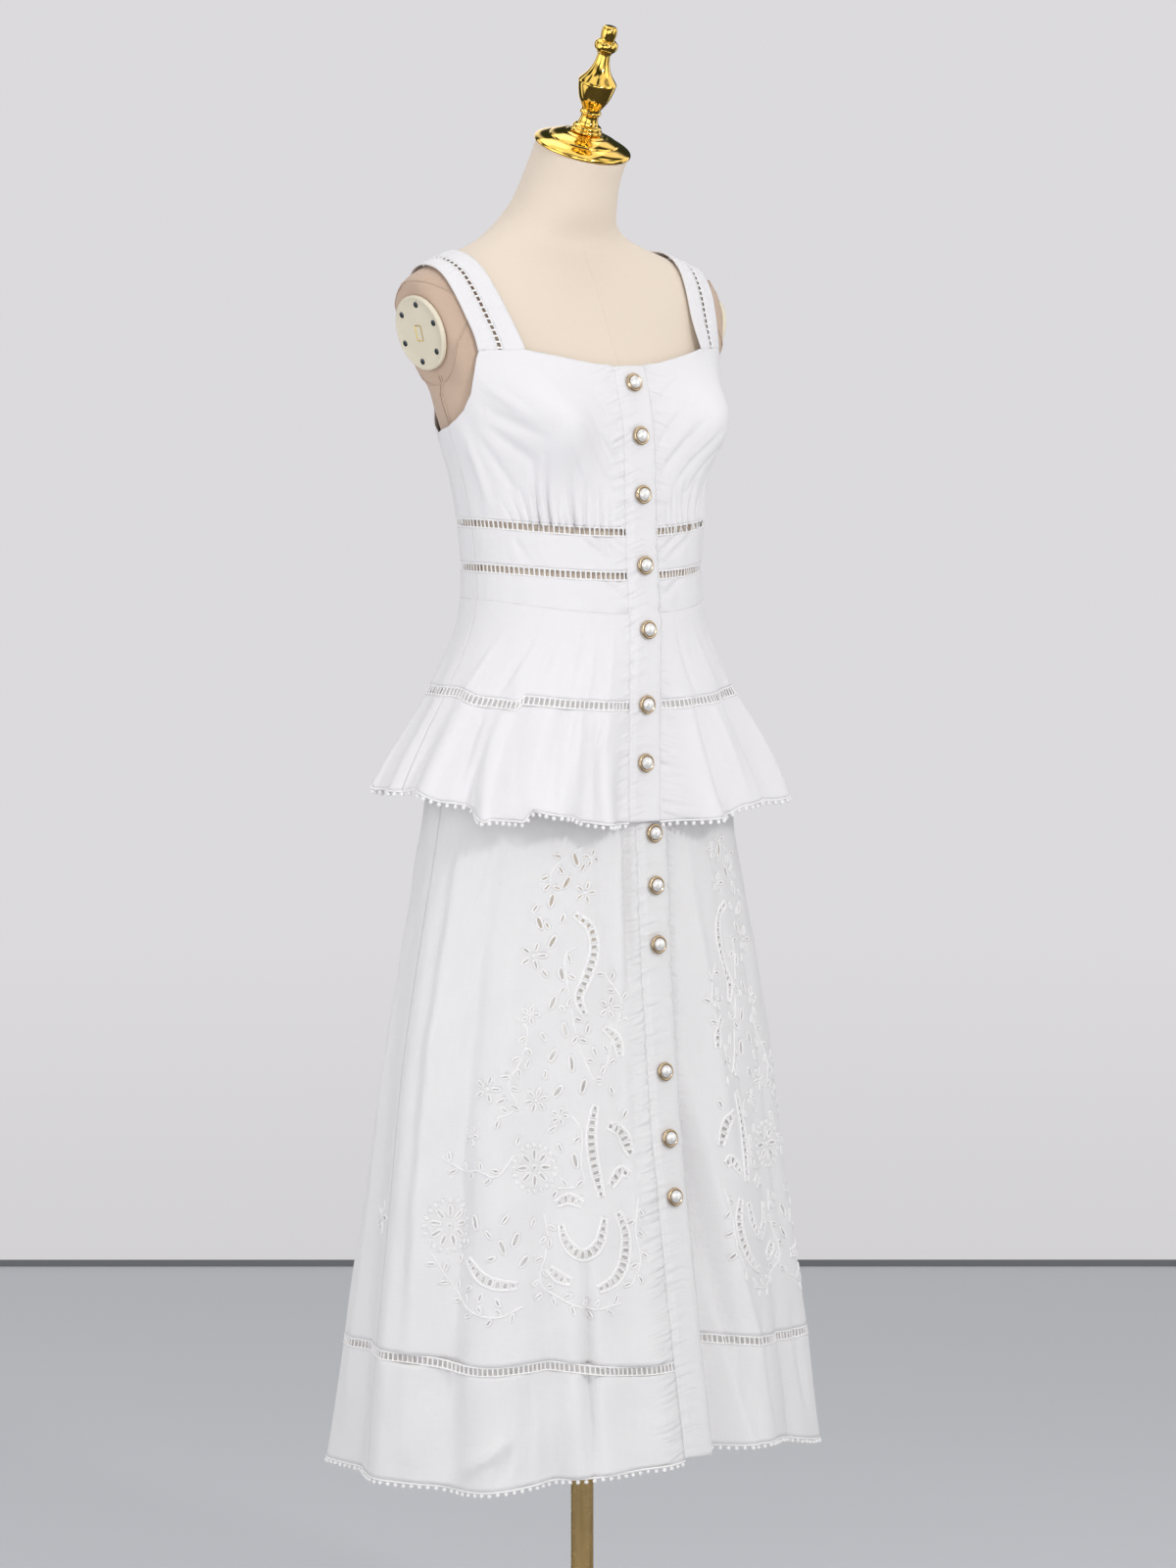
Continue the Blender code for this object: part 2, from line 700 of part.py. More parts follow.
def build_hardware(gold, linen):
    """Cap and finial on the neck, arm plates, pole and base."""
    tilt = (0.0, -math.sin(math.radians(CAP_TILT)), math.cos(math.radians(CAP_TILT)))
    cap = ((0.0465, 0.0), (0.0475, 0.0012), (0.0475, 0.0032), (0.0440, 0.0060), (0.0350, 0.0090),
           (0.0290, 0.0128), (0.0180, 0.0160))
    turned("neck_cap", cap, 26, CAP_CENTRE, tilt, gold)
    finial = ((0.0130, 0.0163), (0.0145, 0.0180), (0.0145, 0.0222), (0.0095, 0.0242), (0.0090, 0.0300),
              (0.0078, 0.0345), (0.0084, 0.0362), (0.0100, 0.0400), (0.0150, 0.0495), (0.0172, 0.0570),
              (0.0188, 0.0672), (0.0172, 0.0700), (0.0105, 0.0790), (0.0072, 0.0870), (0.0062, 0.0950),
              (0.0080, 0.0985), (0.0112, 0.1035), (0.0114, 0.1068), (0.0078, 0.1105),
              (0.0072, 0.1125), (0.0076, 0.1210), (0.0062, 0.1245))
    turned("finial", finial, 14, CAP_CENTRE, tilt, gold)
    drop = math.radians(ARM_PLATE_DROP)
    half = ARM_PLATE_THICK / 2
    plate = ((ARM_PLATE_RADIUS - 0.0012, -half), (ARM_PLATE_RADIUS, -half + 0.0012),
             (ARM_PLATE_RADIUS, half - 0.0010), (ARM_PLATE_RADIUS - 0.0014, half))
    for side, label in ((-1, "right"), (1, "left")):
        turned("arm_plate_" + label, plate, 24, (side * ARM_PLATE[0], ARM_PLATE[1], ARM_PLATE[2]),
               (side * math.cos(drop), 0.0, -math.sin(drop)), linen)
    top = FORM_BOTTOM - SEAM
    pole = ((POLE_RADIUS, BOSS_TOP + SEAM), (POLE_RADIUS, top - FLANGE_HEIGHT - 0.012),
            (0.016, top - FLANGE_HEIGHT - 0.004), (FLANGE_RADIUS, top - FLANGE_HEIGHT), (FLANGE_RADIUS, top))
    turned("pole", pole, 20, (0, 0, 0), (0, 0, 1), gold)
    base = ((BASE_RADIUS, 0.0), (BASE_RADIUS, BASE_HEIGHT - 0.003), (BASE_RADIUS - 0.004, BASE_HEIGHT),
            (BOSS_RADIUS + 0.006, BASE_HEIGHT + 0.001), (BOSS_RADIUS, BASE_HEIGHT + 0.006),
            (0.018, BOSS_TOP))
    turned("stand_base", base, 36, (0, 0, 0), (0, 0, 1), gold)


def shoulder_point(x, around, lift):
    """A point over the shoulder in the plane at x, lifted off the form: an angle round from the front,
    and from 180 on a millimetre lower down the back for each degree."""
    middle_y, middle_z = 0.037, 1.3705
    if around > 180.0:
        z = middle_z - 0.001 * (around - 180.0)
        width, depth, middle = read_table(FORM_SECTIONS, z)
        return Vector((x, middle + depth * math.sqrt(1.0 - (x / width) ** 2) + lift, z))
    forward = -math.cos(math.radians(around))
    up = math.sin(math.radians(around))
    near, far = 0.0, 0.16
    for _ in range(32):
        reach = (near + far) / 2
        if form_inside(x, middle_y + forward * reach, middle_z + up * reach):
            near = reach
        else:
            far = reach
    return Vector((x, middle_y + forward * (near + lift), middle_z + up * (near + lift)))


# Straps: angle over the shoulder, inner edge, outer edge, lift at the inner edge, lift at the outer edge
STRAP_SECTIONS = (
    (0.0, 0.1065, 0.1460, 0.0135, 0.0054),
    (14.0, 0.1080, 0.1480, 0.0085, 0.0045),
    (30.0, 0.1110, 0.1515, 0.0050, 0.0040),
    (60.0, 0.1180, 0.1570, 0.0040, 0.0040),
    (90.0, 0.1225, 0.1590, 0.0040, 0.0042),
    (120.0, 0.1205, 0.1550, 0.0042, 0.0044),
    (150.0, 0.1130, 0.1480, 0.0044, 0.0046),
    (180.0, 0.1030, 0.1390, 0.0046, 0.0046),
    (231.7, 0.0905, 0.1250, 0.0055, 0.0052),
)
# A strap is two tapes with a ladder between them: name, share of the width where it starts and ends
STRAP_RIBBONS = (("inner_tape", 0.0, 0.475), ("ladder", 0.482, 0.598), ("outer_tape", 0.605, 1.0))


def build_straps(cotton, thread):
    for side, label in ((-1, "right"), (1, "left")):
        def place(turn, z):
            """Turn is the share across the strap times ten, z the angle over the shoulder over a thousand."""
            across = turn / 10.0
            inner_x, outer_x, inner_lift, outer_lift = read_table(STRAP_SECTIONS, z * 1000.0)
            point = shoulder_point(lerp(inner_x, outer_x, across), z * 1000.0,
                                   lerp(inner_lift, outer_lift, across))
            point.x *= side
            return point

        for ribbon, start, end in STRAP_RIBBONS:
            material = thread if ribbon == "ladder" else cotton
            edges = (start * 10.0, end * 10.0) if side > 0 else (end * 10.0, start * 10.0)
            spots = []
            rows = (0.0, 12.0, 26.0, 42.0, 58.0, 74.0, 90.0, 108.0, 126.0, 144.0, 162.0, 180.0, 205.0, 231.7)
            for around in rows:
                spots += [(edges[0], around / 1000.0), (edges[1], around / 1000.0)]
            wall_sheet("strap_" + label + "_" + ribbon, spots, grid(2, len(rows)), place, side, material)


def wall_sheet(name, spots, triangles, place, side, material):
    """A strap ribbon: as thick_sheet, with the normal turned to the outside on either shoulder."""
    outer = []
    inner = []
    for turn, z in spots:
        point = place(turn, z)
        along = place(turn + 0.3, z) - place(turn - 0.3, z)
        up = place(turn, min(z + 0.002, 0.2317)) - place(turn, max(z - 0.002, 0.0))
        normal = along.cross(up).normalized() * side
        outer.append(point + normal * CLOTH / 2)
        inner.append(point - normal * CLOTH / 2)
    count = len(spots)
    faces = []
    rims = {}
    for a, b, c in triangles:
        faces.append((a, b, c))
        faces.append((a + count, c + count, b + count))
        for edge in ((a, b), (b, c), (c, a)):
            if (edge[1], edge[0]) in rims:
                del rims[(edge[1], edge[0])]
            else:
                rims[edge] = True
    for a, b in rims:
        faces.append((b, a, a + count))
        faces.append((b, a + count, b + count))
    new_object(name, outer + inner, faces, material)


def front_columns(place, z, side, step):
    """Columns of a front panel between its centre edge and its side seam, in rising order."""
    gap = SEAM / 2 * degrees_per_metre(place, side * SIDE_TURN, z)
    if side < 0:
        return steps(gap - SIDE_TURN, turn_at(place, -PLACKET_HALF, z), step)[:-1] + [RIGHT_EDGE]
    return [LEFT_EDGE, (0.0, 0.0), LADDER_START] + steps(turn_at(place, PLACKET_HALF, z), SIDE_TURN - gap, step)[1:]


def ring_pieces(name, place, z_of, bottom, top, step, shares, material):
    """Right front, left front and back of a level band, parted at the side seams."""
    right = front_columns(place, z_of, -1, step)
    left = front_columns(place, z_of, 1, step)
    gap = SEAM / 2 * degrees_per_metre(place, SIDE_TURN, z_of)
    back = steps(SIDE_TURN + gap, 360.0 - SIDE_TURN - gap, step)
    for label, columns in (("front_right", right), ("front_left", left), ("back", back)):
        panel(name + "_" + label, place, columns, bottom, top, shares, material)
    return ring_columns(left, back, right)


def ring_columns(left, back, right):
    """Columns all round, from the placket's left edge to its right one."""
    ring = left[2:-1] + back[1:-1] + [360.0 + turn for turn in right[:-1]]
    return ring + [(RIGHT_EDGE[0], 360.0)]


def ring_ladder(name, place, z_of, bottom, top, step, material):
    """An openwork insertion all round, open behind the placket."""
    start = turn_at(place, PLACKET_HALF, z_of)
    columns = [LADDER_START] + steps(start, 360.0 - start, step)[1:-1] + [(RIGHT_EDGE[0], 360.0)]
    panel(name, place, columns, bottom, top, (0.0, 1.0), material)


def build_bodice(cotton):
    half = LADDER / 2 + SEAM
    bottom = lambda turn: edge_height(UPPER_LADDER, turn) + half
    shares = (0.0, 0.14, 0.30, 0.48, 0.66, 0.84, 1.0)
    gap = SEAM / 2 * degrees_per_metre(bodice_point, SIDE_TURN, 1.25)
    turns = [12.5] + steps(16.4, 50.0, GATHER_PITCH / 2) + [56.0, 61.5, 68.0, 75.0, 82.0, SIDE_TURN - gap]
    right = [-turn for turn in reversed(turns)] + [RIGHT_EDGE]
    left = [LEFT_EDGE, (0.0, 0.0), LADDER_START] + turns
    panel("bodice_front_right", bodice_point, right, bottom, bodice_top, shares, cotton)
    panel("bodice_front_left", bodice_point, left, bottom, bodice_top, shares, cotton)
    half_back = [SIDE_TURN + gap, 98.0, 107.0, 118.0, 128.0, 138.0, 150.0, 165.0]
    columns = half_back + [180.0] + [360.0 - turn for turn in reversed(half_back)]
    panel("bodice_back", bodice_point, columns, bottom, bodice_top, (0.0, 0.35, 0.7, 1.0), cotton)


def build_waist(cotton, thread):
    half = LADDER / 2
    upper = lambda turn: edge_height(UPPER_LADDER, turn)
    lower = lambda turn: edge_height(LOWER_LADDER, turn)
    ring_ladder("ladder_underbust", bodice_point, 1.204, lambda t: upper(t) - half, lambda t: upper(t) + half,
                9.5, thread)
    ring_pieces("waistband_upper", bodice_point, 1.18, lambda t: lower(t) + half + SEAM,
                lambda t: upper(t) - half - SEAM, 9.5, (0.0, 1.0), cotton)
    ring_ladder("ladder_waist", bodice_point, 1.161, lambda t: lower(t) - half, lambda t: lower(t) + half,
                9.5, thread)
    ring_pieces("waistband_lower", bodice_point, 1.145, lambda t: waist_seam(t) + SEAM,
                lambda t: lower(t) - half - SEAM, 9.5, (0.0, 1.0), cotton)


def build_peplum(cotton, thread):
    half = LADDER / 2
    ladder = lambda turn: edge_height(PEPLUM_LADDER, turn)
    hem = lambda turn: edge_height(PEPLUM_HEM, turn)
    ring_pieces("peplum_upper", peplum_point, 1.06, lambda t: ladder(t) + half + SEAM, waist_seam,
                7.0, (0.0, 0.5, 1.0), cotton)
    columns = ring_pieces("peplum_ruffle", peplum_point, 0.98, hem, lambda t: ladder(t) - half - SEAM,
                          4.5, (0.0, 0.5, 1.0), cotton)
    panel("ladder_peplum", peplum_point, columns, lambda t: ladder(t) - half, lambda t: ladder(t) + half,
          (0.0, 1.0), thread)
    panel("peplum_trim", peplum_point, columns, lambda t: hem(t) - SEAM - TRIM_DROP,
          lambda t: hem(t) - SEAM, (0.0, 1.0), thread)


# Columns of the skirt fronts, closer together at the narrow folds
SKIRT_RIGHT_TURNS = (-84.0, -78.5, -72.0, -65.0, -58.5, -52.0, -45.0, -39.0, -36.0, -33.0, -27.0, -20.0, -14.0, -9.0)
SKIRT_LEFT_TURNS = (7.8, 10.2, 12.8, 16.5, 21.0, 28.0, 34.0, 39.0, 44.0, 50.0, 56.0, 62.0, 68.0, 74.0, 80.0, 85.0)


def build_skirt(cotton, thread):
    half = LADDER / 2
    top = lambda turn: waist_seam(turn) - SEAM
    over = lambda turn: skirt_ladder(turn) + half + SEAM
    under = lambda turn: skirt_ladder(turn) - half - SEAM
    gap = SEAM / 2 * degrees_per_metre(skirt_point, SIDE_TURN, 1.0)
    right = [gap - SIDE_TURN, *SKIRT_RIGHT_TURNS, RIGHT_EDGE]
    left = [LEFT_EDGE, (0.0, 0.0), LADDER_START, *SKIRT_LEFT_TURNS, SIDE_TURN - gap]
    back = steps(SIDE_TURN + gap, 360.0 - SIDE_TURN - gap, 7.5)
    heights = (0.500, 0.595, 0.700, 0.860)
    cut_panel("skirt_front_right", skirt_point, right, over, top, heights,
              front_cutwork(skirt_point, -1), cotton)
    cut_panel("skirt_front_left", skirt_point, left, over, top, heights,
              front_cutwork(skirt_point, 1), cotton)
    cut_panel("skirt_back", skirt_point, back, over, top, heights, back_cutwork(skirt_point), cotton)
    for label, columns in (("front_right", right), ("front_left", left), ("back", back)):
        panel("hem_band_" + label, skirt_point, columns, skirt_hem, under, (0.0, 1.0), cotton)
    ring = ring_columns(left, back, right)
    panel("ladder_skirt", skirt_point, ring, lambda t: skirt_ladder(t) - half,
          lambda t: skirt_ladder(t) + half, (0.0, 1.0), thread)
    panel("hem_trim", skirt_point, ring, lambda t: skirt_hem(t) - SEAM - TRIM_DROP,
          lambda t: skirt_hem(t) - SEAM, (0.0, 1.0), thread)


def upper_front(turn, z):
    """Front surface under the upper placket: bodice, waistbands, then the peplum."""
    if z > WAIST_SIDE - WAIST_DIP:
        return bodice_point(turn, z)
    return peplum_point(turn, z)


def placket(name, place, heights, lift, material):
    """A strip on the front's own points, moved out."""
    xs = (-PLACKET_HALF, 0.0, PLACKET_HALF)
    spots = [(turn_of(place, (x, 0.0), z), z) for z in heights for x in xs]
    thick_sheet(name, spots, grid(len(xs), len(heights)), place, material, lift)


def build_plackets(cotton):
    buttons = [z for z in BUTTON_HEIGHTS if z > SKIRT_BUTTONS_BELOW]
    upper = [edge_height(PEPLUM_HEM, 0.0), 0.945, 1.001, 1.060, 1.125, 1.195, 1.258, 1.310, 1.3535]
    placket("placket_upper", upper_front, sorted(upper + buttons), UPPER_LIFT, cotton)
    buttons = [z for z in BUTTON_HEIGHTS if z < SKIRT_BUTTONS_BELOW]
    lower = [PLACKET_HEM, 0.350, 0.420, 0.490, 0.740, 0.935]
    placket("placket_skirt", skirt_point, sorted(lower + buttons), SKIRT_LIFT, cotton)


def build_buttons(pearl):
    """Domed pearl buttons in a metal rim, each seated on the placket."""
    profile = ((0.0062, 0.0), (BUTTON_RADIUS, 0.0016), (BUTTON_RADIUS - 0.0014, 0.0040), (0.0042, 0.0066))
    for number, z in enumerate(BUTTON_HEIGHTS, 1):
        place, lift = (skirt_point, SKIRT_LIFT) if z < SKIRT_BUTTONS_BELOW else (upper_front, UPPER_LIFT)
        turn = turn_of(place, (0.0, 0.0), z)
        normal = outward(place, turn, z)
        seat = place(turn, z) + normal * (lift + CLOTH / 2 + 2 * SEAM)
        turned("button_" + str(number).zfill(2), profile, 8, seat, normal, pearl)


def build():
    for thing in list(bpy.data.objects):
        bpy.data.objects.remove(thing, do_unlink=True)
    cotton = make_material("white_cotton", (0.90, 0.90, 0.91), 0.85)
    thread = make_material("openwork_thread", (0.84, 0.83, 0.80), 0.85)
    linen = make_material("form_linen", (0.80, 0.70, 0.60), 0.80)
    gold = make_material("polished_gold", (0.83, 0.60, 0.18), 0.16, 1.0)
    pearl = make_material("pearl", (0.86, 0.82, 0.76), 0.20)
    build_form(linen)
    build_hardware(gold, linen)
    build_straps(cotton, thread)
    build_bodice(cotton)
    build_waist(cotton, thread)
    build_peplum(cotton, thread)
    build_skirt(cotton, thread)
    build_plackets(cotton)
    build_buttons(pearl)


build()
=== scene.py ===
import math
import bpy
import numpy as np
from mathutils import Matrix, Vector
from mathutils.geometry import delaunay_2d_cdt


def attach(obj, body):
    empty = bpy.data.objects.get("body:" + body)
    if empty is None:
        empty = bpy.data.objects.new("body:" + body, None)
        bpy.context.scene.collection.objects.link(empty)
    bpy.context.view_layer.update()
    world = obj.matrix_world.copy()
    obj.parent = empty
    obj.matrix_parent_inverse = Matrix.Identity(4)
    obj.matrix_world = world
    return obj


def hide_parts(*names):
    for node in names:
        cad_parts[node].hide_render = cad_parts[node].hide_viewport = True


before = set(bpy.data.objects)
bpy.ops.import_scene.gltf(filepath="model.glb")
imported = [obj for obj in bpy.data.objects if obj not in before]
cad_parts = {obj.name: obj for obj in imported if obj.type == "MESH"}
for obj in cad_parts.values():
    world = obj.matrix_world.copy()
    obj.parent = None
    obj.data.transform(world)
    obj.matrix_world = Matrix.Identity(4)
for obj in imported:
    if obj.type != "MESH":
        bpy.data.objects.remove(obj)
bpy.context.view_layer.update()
scene = bpy.context.scene
print("frame loaded")

# A turn is an angle round the body in degrees: 0 at centre front, growing towards the wearer's left.
# Surfaces are tables of sections, read on smooth curves, and every piece of cloth is laid out on them.

# sections
formSections = (
    (0.800, 0.136, 0.090, 0.008),
    (0.812, 0.146, 0.099, 0.008),
    (0.860, 0.152, 0.103, 0.008),
    (0.930, 0.155, 0.104, 0.008),
    (1.000, 0.148, 0.101, 0.006),
    (1.060, 0.134, 0.097, 0.003),
    (1.113, 0.1228, 0.0935, 0.000),
    (1.160, 0.1213, 0.0905, 0.001),
    (1.204, 0.1255, 0.0890, 0.003),
    (1.250, 0.1340, 0.0885, 0.007),
    (1.287, 0.1450, 0.0895, 0.0115),
    (1.313, 0.1530, 0.0890, 0.015),
    (1.335, 0.1600, 0.0880, 0.018),
    (1.356, 0.1770, 0.0830, 0.024),
    (1.384, 0.2000, 0.0740, 0.030),
    (1.410, 0.2000, 0.0690, 0.036),
    (1.425, 0.1920, 0.0620, 0.037),
    (1.440, 0.1740, 0.0560, 0.039),
    (1.452, 0.1470, 0.0520, 0.042),
    (1.462, 0.1200, 0.0495, 0.045),
    (1.474, 0.0880, 0.0490, 0.047),
    (1.490, 0.0650, 0.0500, 0.042),
    (1.510, 0.0525, 0.0485, 0.029),
    (1.540, 0.0460, 0.0450, 0.014),
    (1.5636, 0.0440, 0.0440, 0.000),
)
bodiceSections = (
    (1.105, 0.1285, 0.0995, 0.000),
    (1.130, 0.1267, 0.0985, 0.000),
    (1.160, 0.1265, 0.0970, 0.001),
    (1.190, 0.1295, 0.0965, 0.002),
    (1.213, 0.1325, 0.0965, 0.003),
    (1.250, 0.1395, 0.0975, 0.006),
    (1.287, 0.1495, 0.0985, 0.010),
    (1.313, 0.1565, 0.0970, 0.013),
    (1.340, 0.1660, 0.0935, 0.0165),
    (1.375, 0.1765, 0.0890, 0.0225),
)
peplumSections = (
    (0.905, 0.2370, 0.1600, 0.004, 0.0400, -0.014),
    (0.950, 0.2180, 0.1450, 0.004, 0.0300, -0.011),
    (1.000, 0.1890, 0.1290, 0.003, 0.0180, -0.008),
    (1.038, 0.1640, 0.1190, 0.003, 0.0090, -0.006),
    (1.080, 0.1410, 0.1080, 0.002, 0.0020, -0.003),
    (1.105, 0.1310, 0.1025, 0.001, 0.0005, 0.000),
    (1.132, 0.1270, 0.0988, 0.000, 0.0000, 0.000),
)
skirtSections = (
    (0.280, 0.2500, 0.2000, 0.010),
    (0.411, 0.2400, 0.1740, 0.008),
    (0.575, 0.2230, 0.1455, 0.006),
    (0.680, 0.2110, 0.1325, 0.006),
    (0.800, 0.1900, 0.1222, 0.006),
    (0.913, 0.1680, 0.1155, 0.006),
    (1.000, 0.1560, 0.1090, 0.006),
    (1.060, 0.1415, 0.1030, 0.003),
    (1.132, 0.1267, 0.0985, 0.000),
)
bodiceTop = (
    (0.0, 1.353), (13.0, 1.3565), (27.0, 1.3645), (37.2, 1.3700), (56.0, 1.3700), (58.5, 1.3620),
    (61.5, 1.3500), (68.0, 1.3276), (75.0, 1.3125), (82.0, 1.3035), (90.0, 1.2965), (107.0, 1.2895),
    (118.0, 1.2980), (128.0, 1.3180), (180.0, 1.3180),
)
# folds of the skirt: turn, half width in degrees, depth at the hem, height where it starts
skirtFolds = (
    (10.2, 4.0, -0.030, 0.98), (-9.0, 5.0, 0.009, 0.95), (21.0, 7.0, 0.010, 0.90), (-36.0, 3.4, -0.015, 0.74),
    (-23.0, 6.5, 0.009, 0.85), (-49.0, 7.0, 0.009, 0.85), (-65.0, 6.5, -0.012, 0.80), (-84.0, 5.5, 0.009, 0.98),
    (-101.0, 7.0, -0.012, 0.90), (-119.0, 7.0, 0.011, 0.85), (-137.0, 7.5, -0.012, 0.88),
    (-155.0, 7.5, 0.012, 0.86), (-172.0, 6.5, -0.011, 0.90), (171.0, 7.0, 0.010, 0.88),
    (153.0, 7.5, -0.013, 0.84), (134.0, 7.5, 0.011, 0.90), (114.0, 7.0, -0.012, 0.86), (94.0, 6.5, 0.010, 0.96),
    (74.0, 6.5, -0.012, 0.82), (56.0, 7.0, 0.010, 0.86), (39.0, 5.0, -0.010, 0.78),
)
peplumFolds = (
    (-58.0, 3.6, -0.014), (-50.0, 5.0, 0.008), (-92.0, 5.0, -0.012), (-128.0, 5.0, -0.012),
    (-165.0, 5.0, -0.012), (161.0, 5.0, -0.012), (126.0, 5.0, -0.012), (91.0, 5.0, -0.012),
    (57.0, 4.0, -0.013), (32.0, 4.5, -0.010),
)
seams = {
    "waist": (1.130, 0.014),
    "waistLadder": (1.161, 0.008),
    "bustLadder": (1.204, 0.009),
    "peplumLadder": (1.043, 0.014),
    "peplumHem": (0.950, 0.032),
    "skirtHem": 0.296,
    "placketHem": 0.311,
    "hemStep": -3.8,
    "ladderHeight": 0.009,
    "placketHalf": 0.018,
    "underlap": 0.014,
    "sideTurn": 90.0,
}
arcs = {"bodice": 0.0026, "peplum": 0.0034, "skirt": 0.0037}    # metres for each degree of turn
creaseScale = {"gather": 1.5, "ridge": 0.45, "bodice": 1.35, "peplum": 1.4, "skirt": 1.35}
neckTilt = 21.5    # degrees that the neck's cap leans forward


# surfaces
def readTable(table, key):
    rows = np.array(table, float)
    key = np.clip(np.asarray(key, float), rows[0, 0], rows[-1, 0])
    last = len(rows) - 1
    row = np.clip(np.searchsorted(rows[:, 0], key, side="right") - 1, 0, last - 1)
    low, high = rows[row], rows[row + 1]
    before, after = rows[np.maximum(row - 1, 0)], rows[np.minimum(row + 2, last)]
    span = (high[..., 0] - low[..., 0])[..., None]
    share = (key - low[..., 0])[..., None] / span
    slopeLow = (high - before) / (high[..., :1] - before[..., :1]) * span
    slopeHigh = (after - low) / (after[..., :1] - low[..., :1]) * span
    squared, cubed = share ** 2, share ** 3
    values = ((2 * cubed - 3 * squared + 1) * low + (cubed - 2 * squared + share) * slopeLow
              + (3 * squared - 2 * cubed) * high + (cubed - squared) * slopeHigh)
    return [values[..., column] for column in range(1, rows.shape[1])]


def lerp(a, b, share):
    return a + (b - a) * share


def wrapTurn(turn):
    return (turn + 180.0) % 360.0 - 180.0


def bell(offset, width):
    return np.exp(-(offset / width) ** 2)


def smoothStep(value, low, high):
    share = np.clip((value - low) / (high - low), 0.0, 1.0)
    return share * share * (3.0 - 2.0 * share)


def seamHeight(name, turn):
    side, dip = seams[name]
    return side - dip * np.maximum(np.cos(np.radians(turn)), 0.0) ** 2


# swing of the skirt's lower lines: turn, height of the hem, height of the insertion
rightHemLines = (
    (-180.0, 0.296, 0.4120), (-90.0, 0.294, 0.4110), (-72.0, 0.291, 0.4080), (-54.0, 0.288, 0.4005),
    (-35.0, 0.298, 0.4045), (-15.0, 0.306, 0.3970), (seams["hemStep"], 0.310, 0.3980),
)
leftHemLines = (
    (seams["hemStep"], 0.314, 0.4230), (12.0, 0.315, 0.4160), (30.0, 0.314, 0.4080), (55.0, 0.298, 0.4040),
    (90.0, 0.296, 0.4100), (180.0, 0.296, 0.4120),
)


def hemLines(turn, column):
    wrapped = wrapTurn(np.asarray(turn, float))
    return np.where(wrapped < seams["hemStep"], readTable(rightHemLines, wrapped)[column],
                    readTable(leftHemLines, wrapped)[column])


def foldStep(turn):
    # the peplum's deep fold at the wearer's right carries its insertion a little lower
    return -0.006 * smoothStep(-wrapTurn(turn), 49.5, 51.5) * (1.0 - smoothStep(-wrapTurn(turn), 66.0, 84.0))


def creaseField(turn, z, creases, arc):
    # soft troughs and ridges along straight lines: turn and height of both ends, half width, depth
    offset = np.zeros(np.broadcast(turn, z).shape)
    for startTurn, startZ, endTurn, endZ, width, depth in creases:
        runX, runZ = (endTurn - startTurn) * arc, endZ - startZ
        awayX, awayZ = (turn - startTurn) * arc, z - startZ
        along = np.clip((awayX * runX + awayZ * runZ) / (runX ** 2 + runZ ** 2), 0.0, 1.0)
        distance = np.hypot(awayX - along * runX, awayZ - along * runZ)
        offset += depth * np.exp(-(distance / width) ** 2) * (0.25 + 0.75 * np.sin(np.pi * along) ** 0.7)
    return offset


def rumple(turn, z, arc, size, depth, seed):
    # uneven soft waviness, fading out at the side seams
    random = np.random.default_rng(seed)
    offset = np.zeros(np.broadcast(turn, z).shape)
    for wave in range(7):
        angle = random.uniform(-1.1, 1.1)
        length = size * random.uniform(0.6, 1.7)
        phase = random.uniform(0, 2 * np.pi)
        offset += np.sin(2 * np.pi * (turn * arc * math.cos(angle) + z * math.sin(angle)) / length + phase)
    return depth * offset / 3.0 * (1.0 - bell(np.abs(wrapTurn(turn)) - seams["sideTurn"], 5.0))


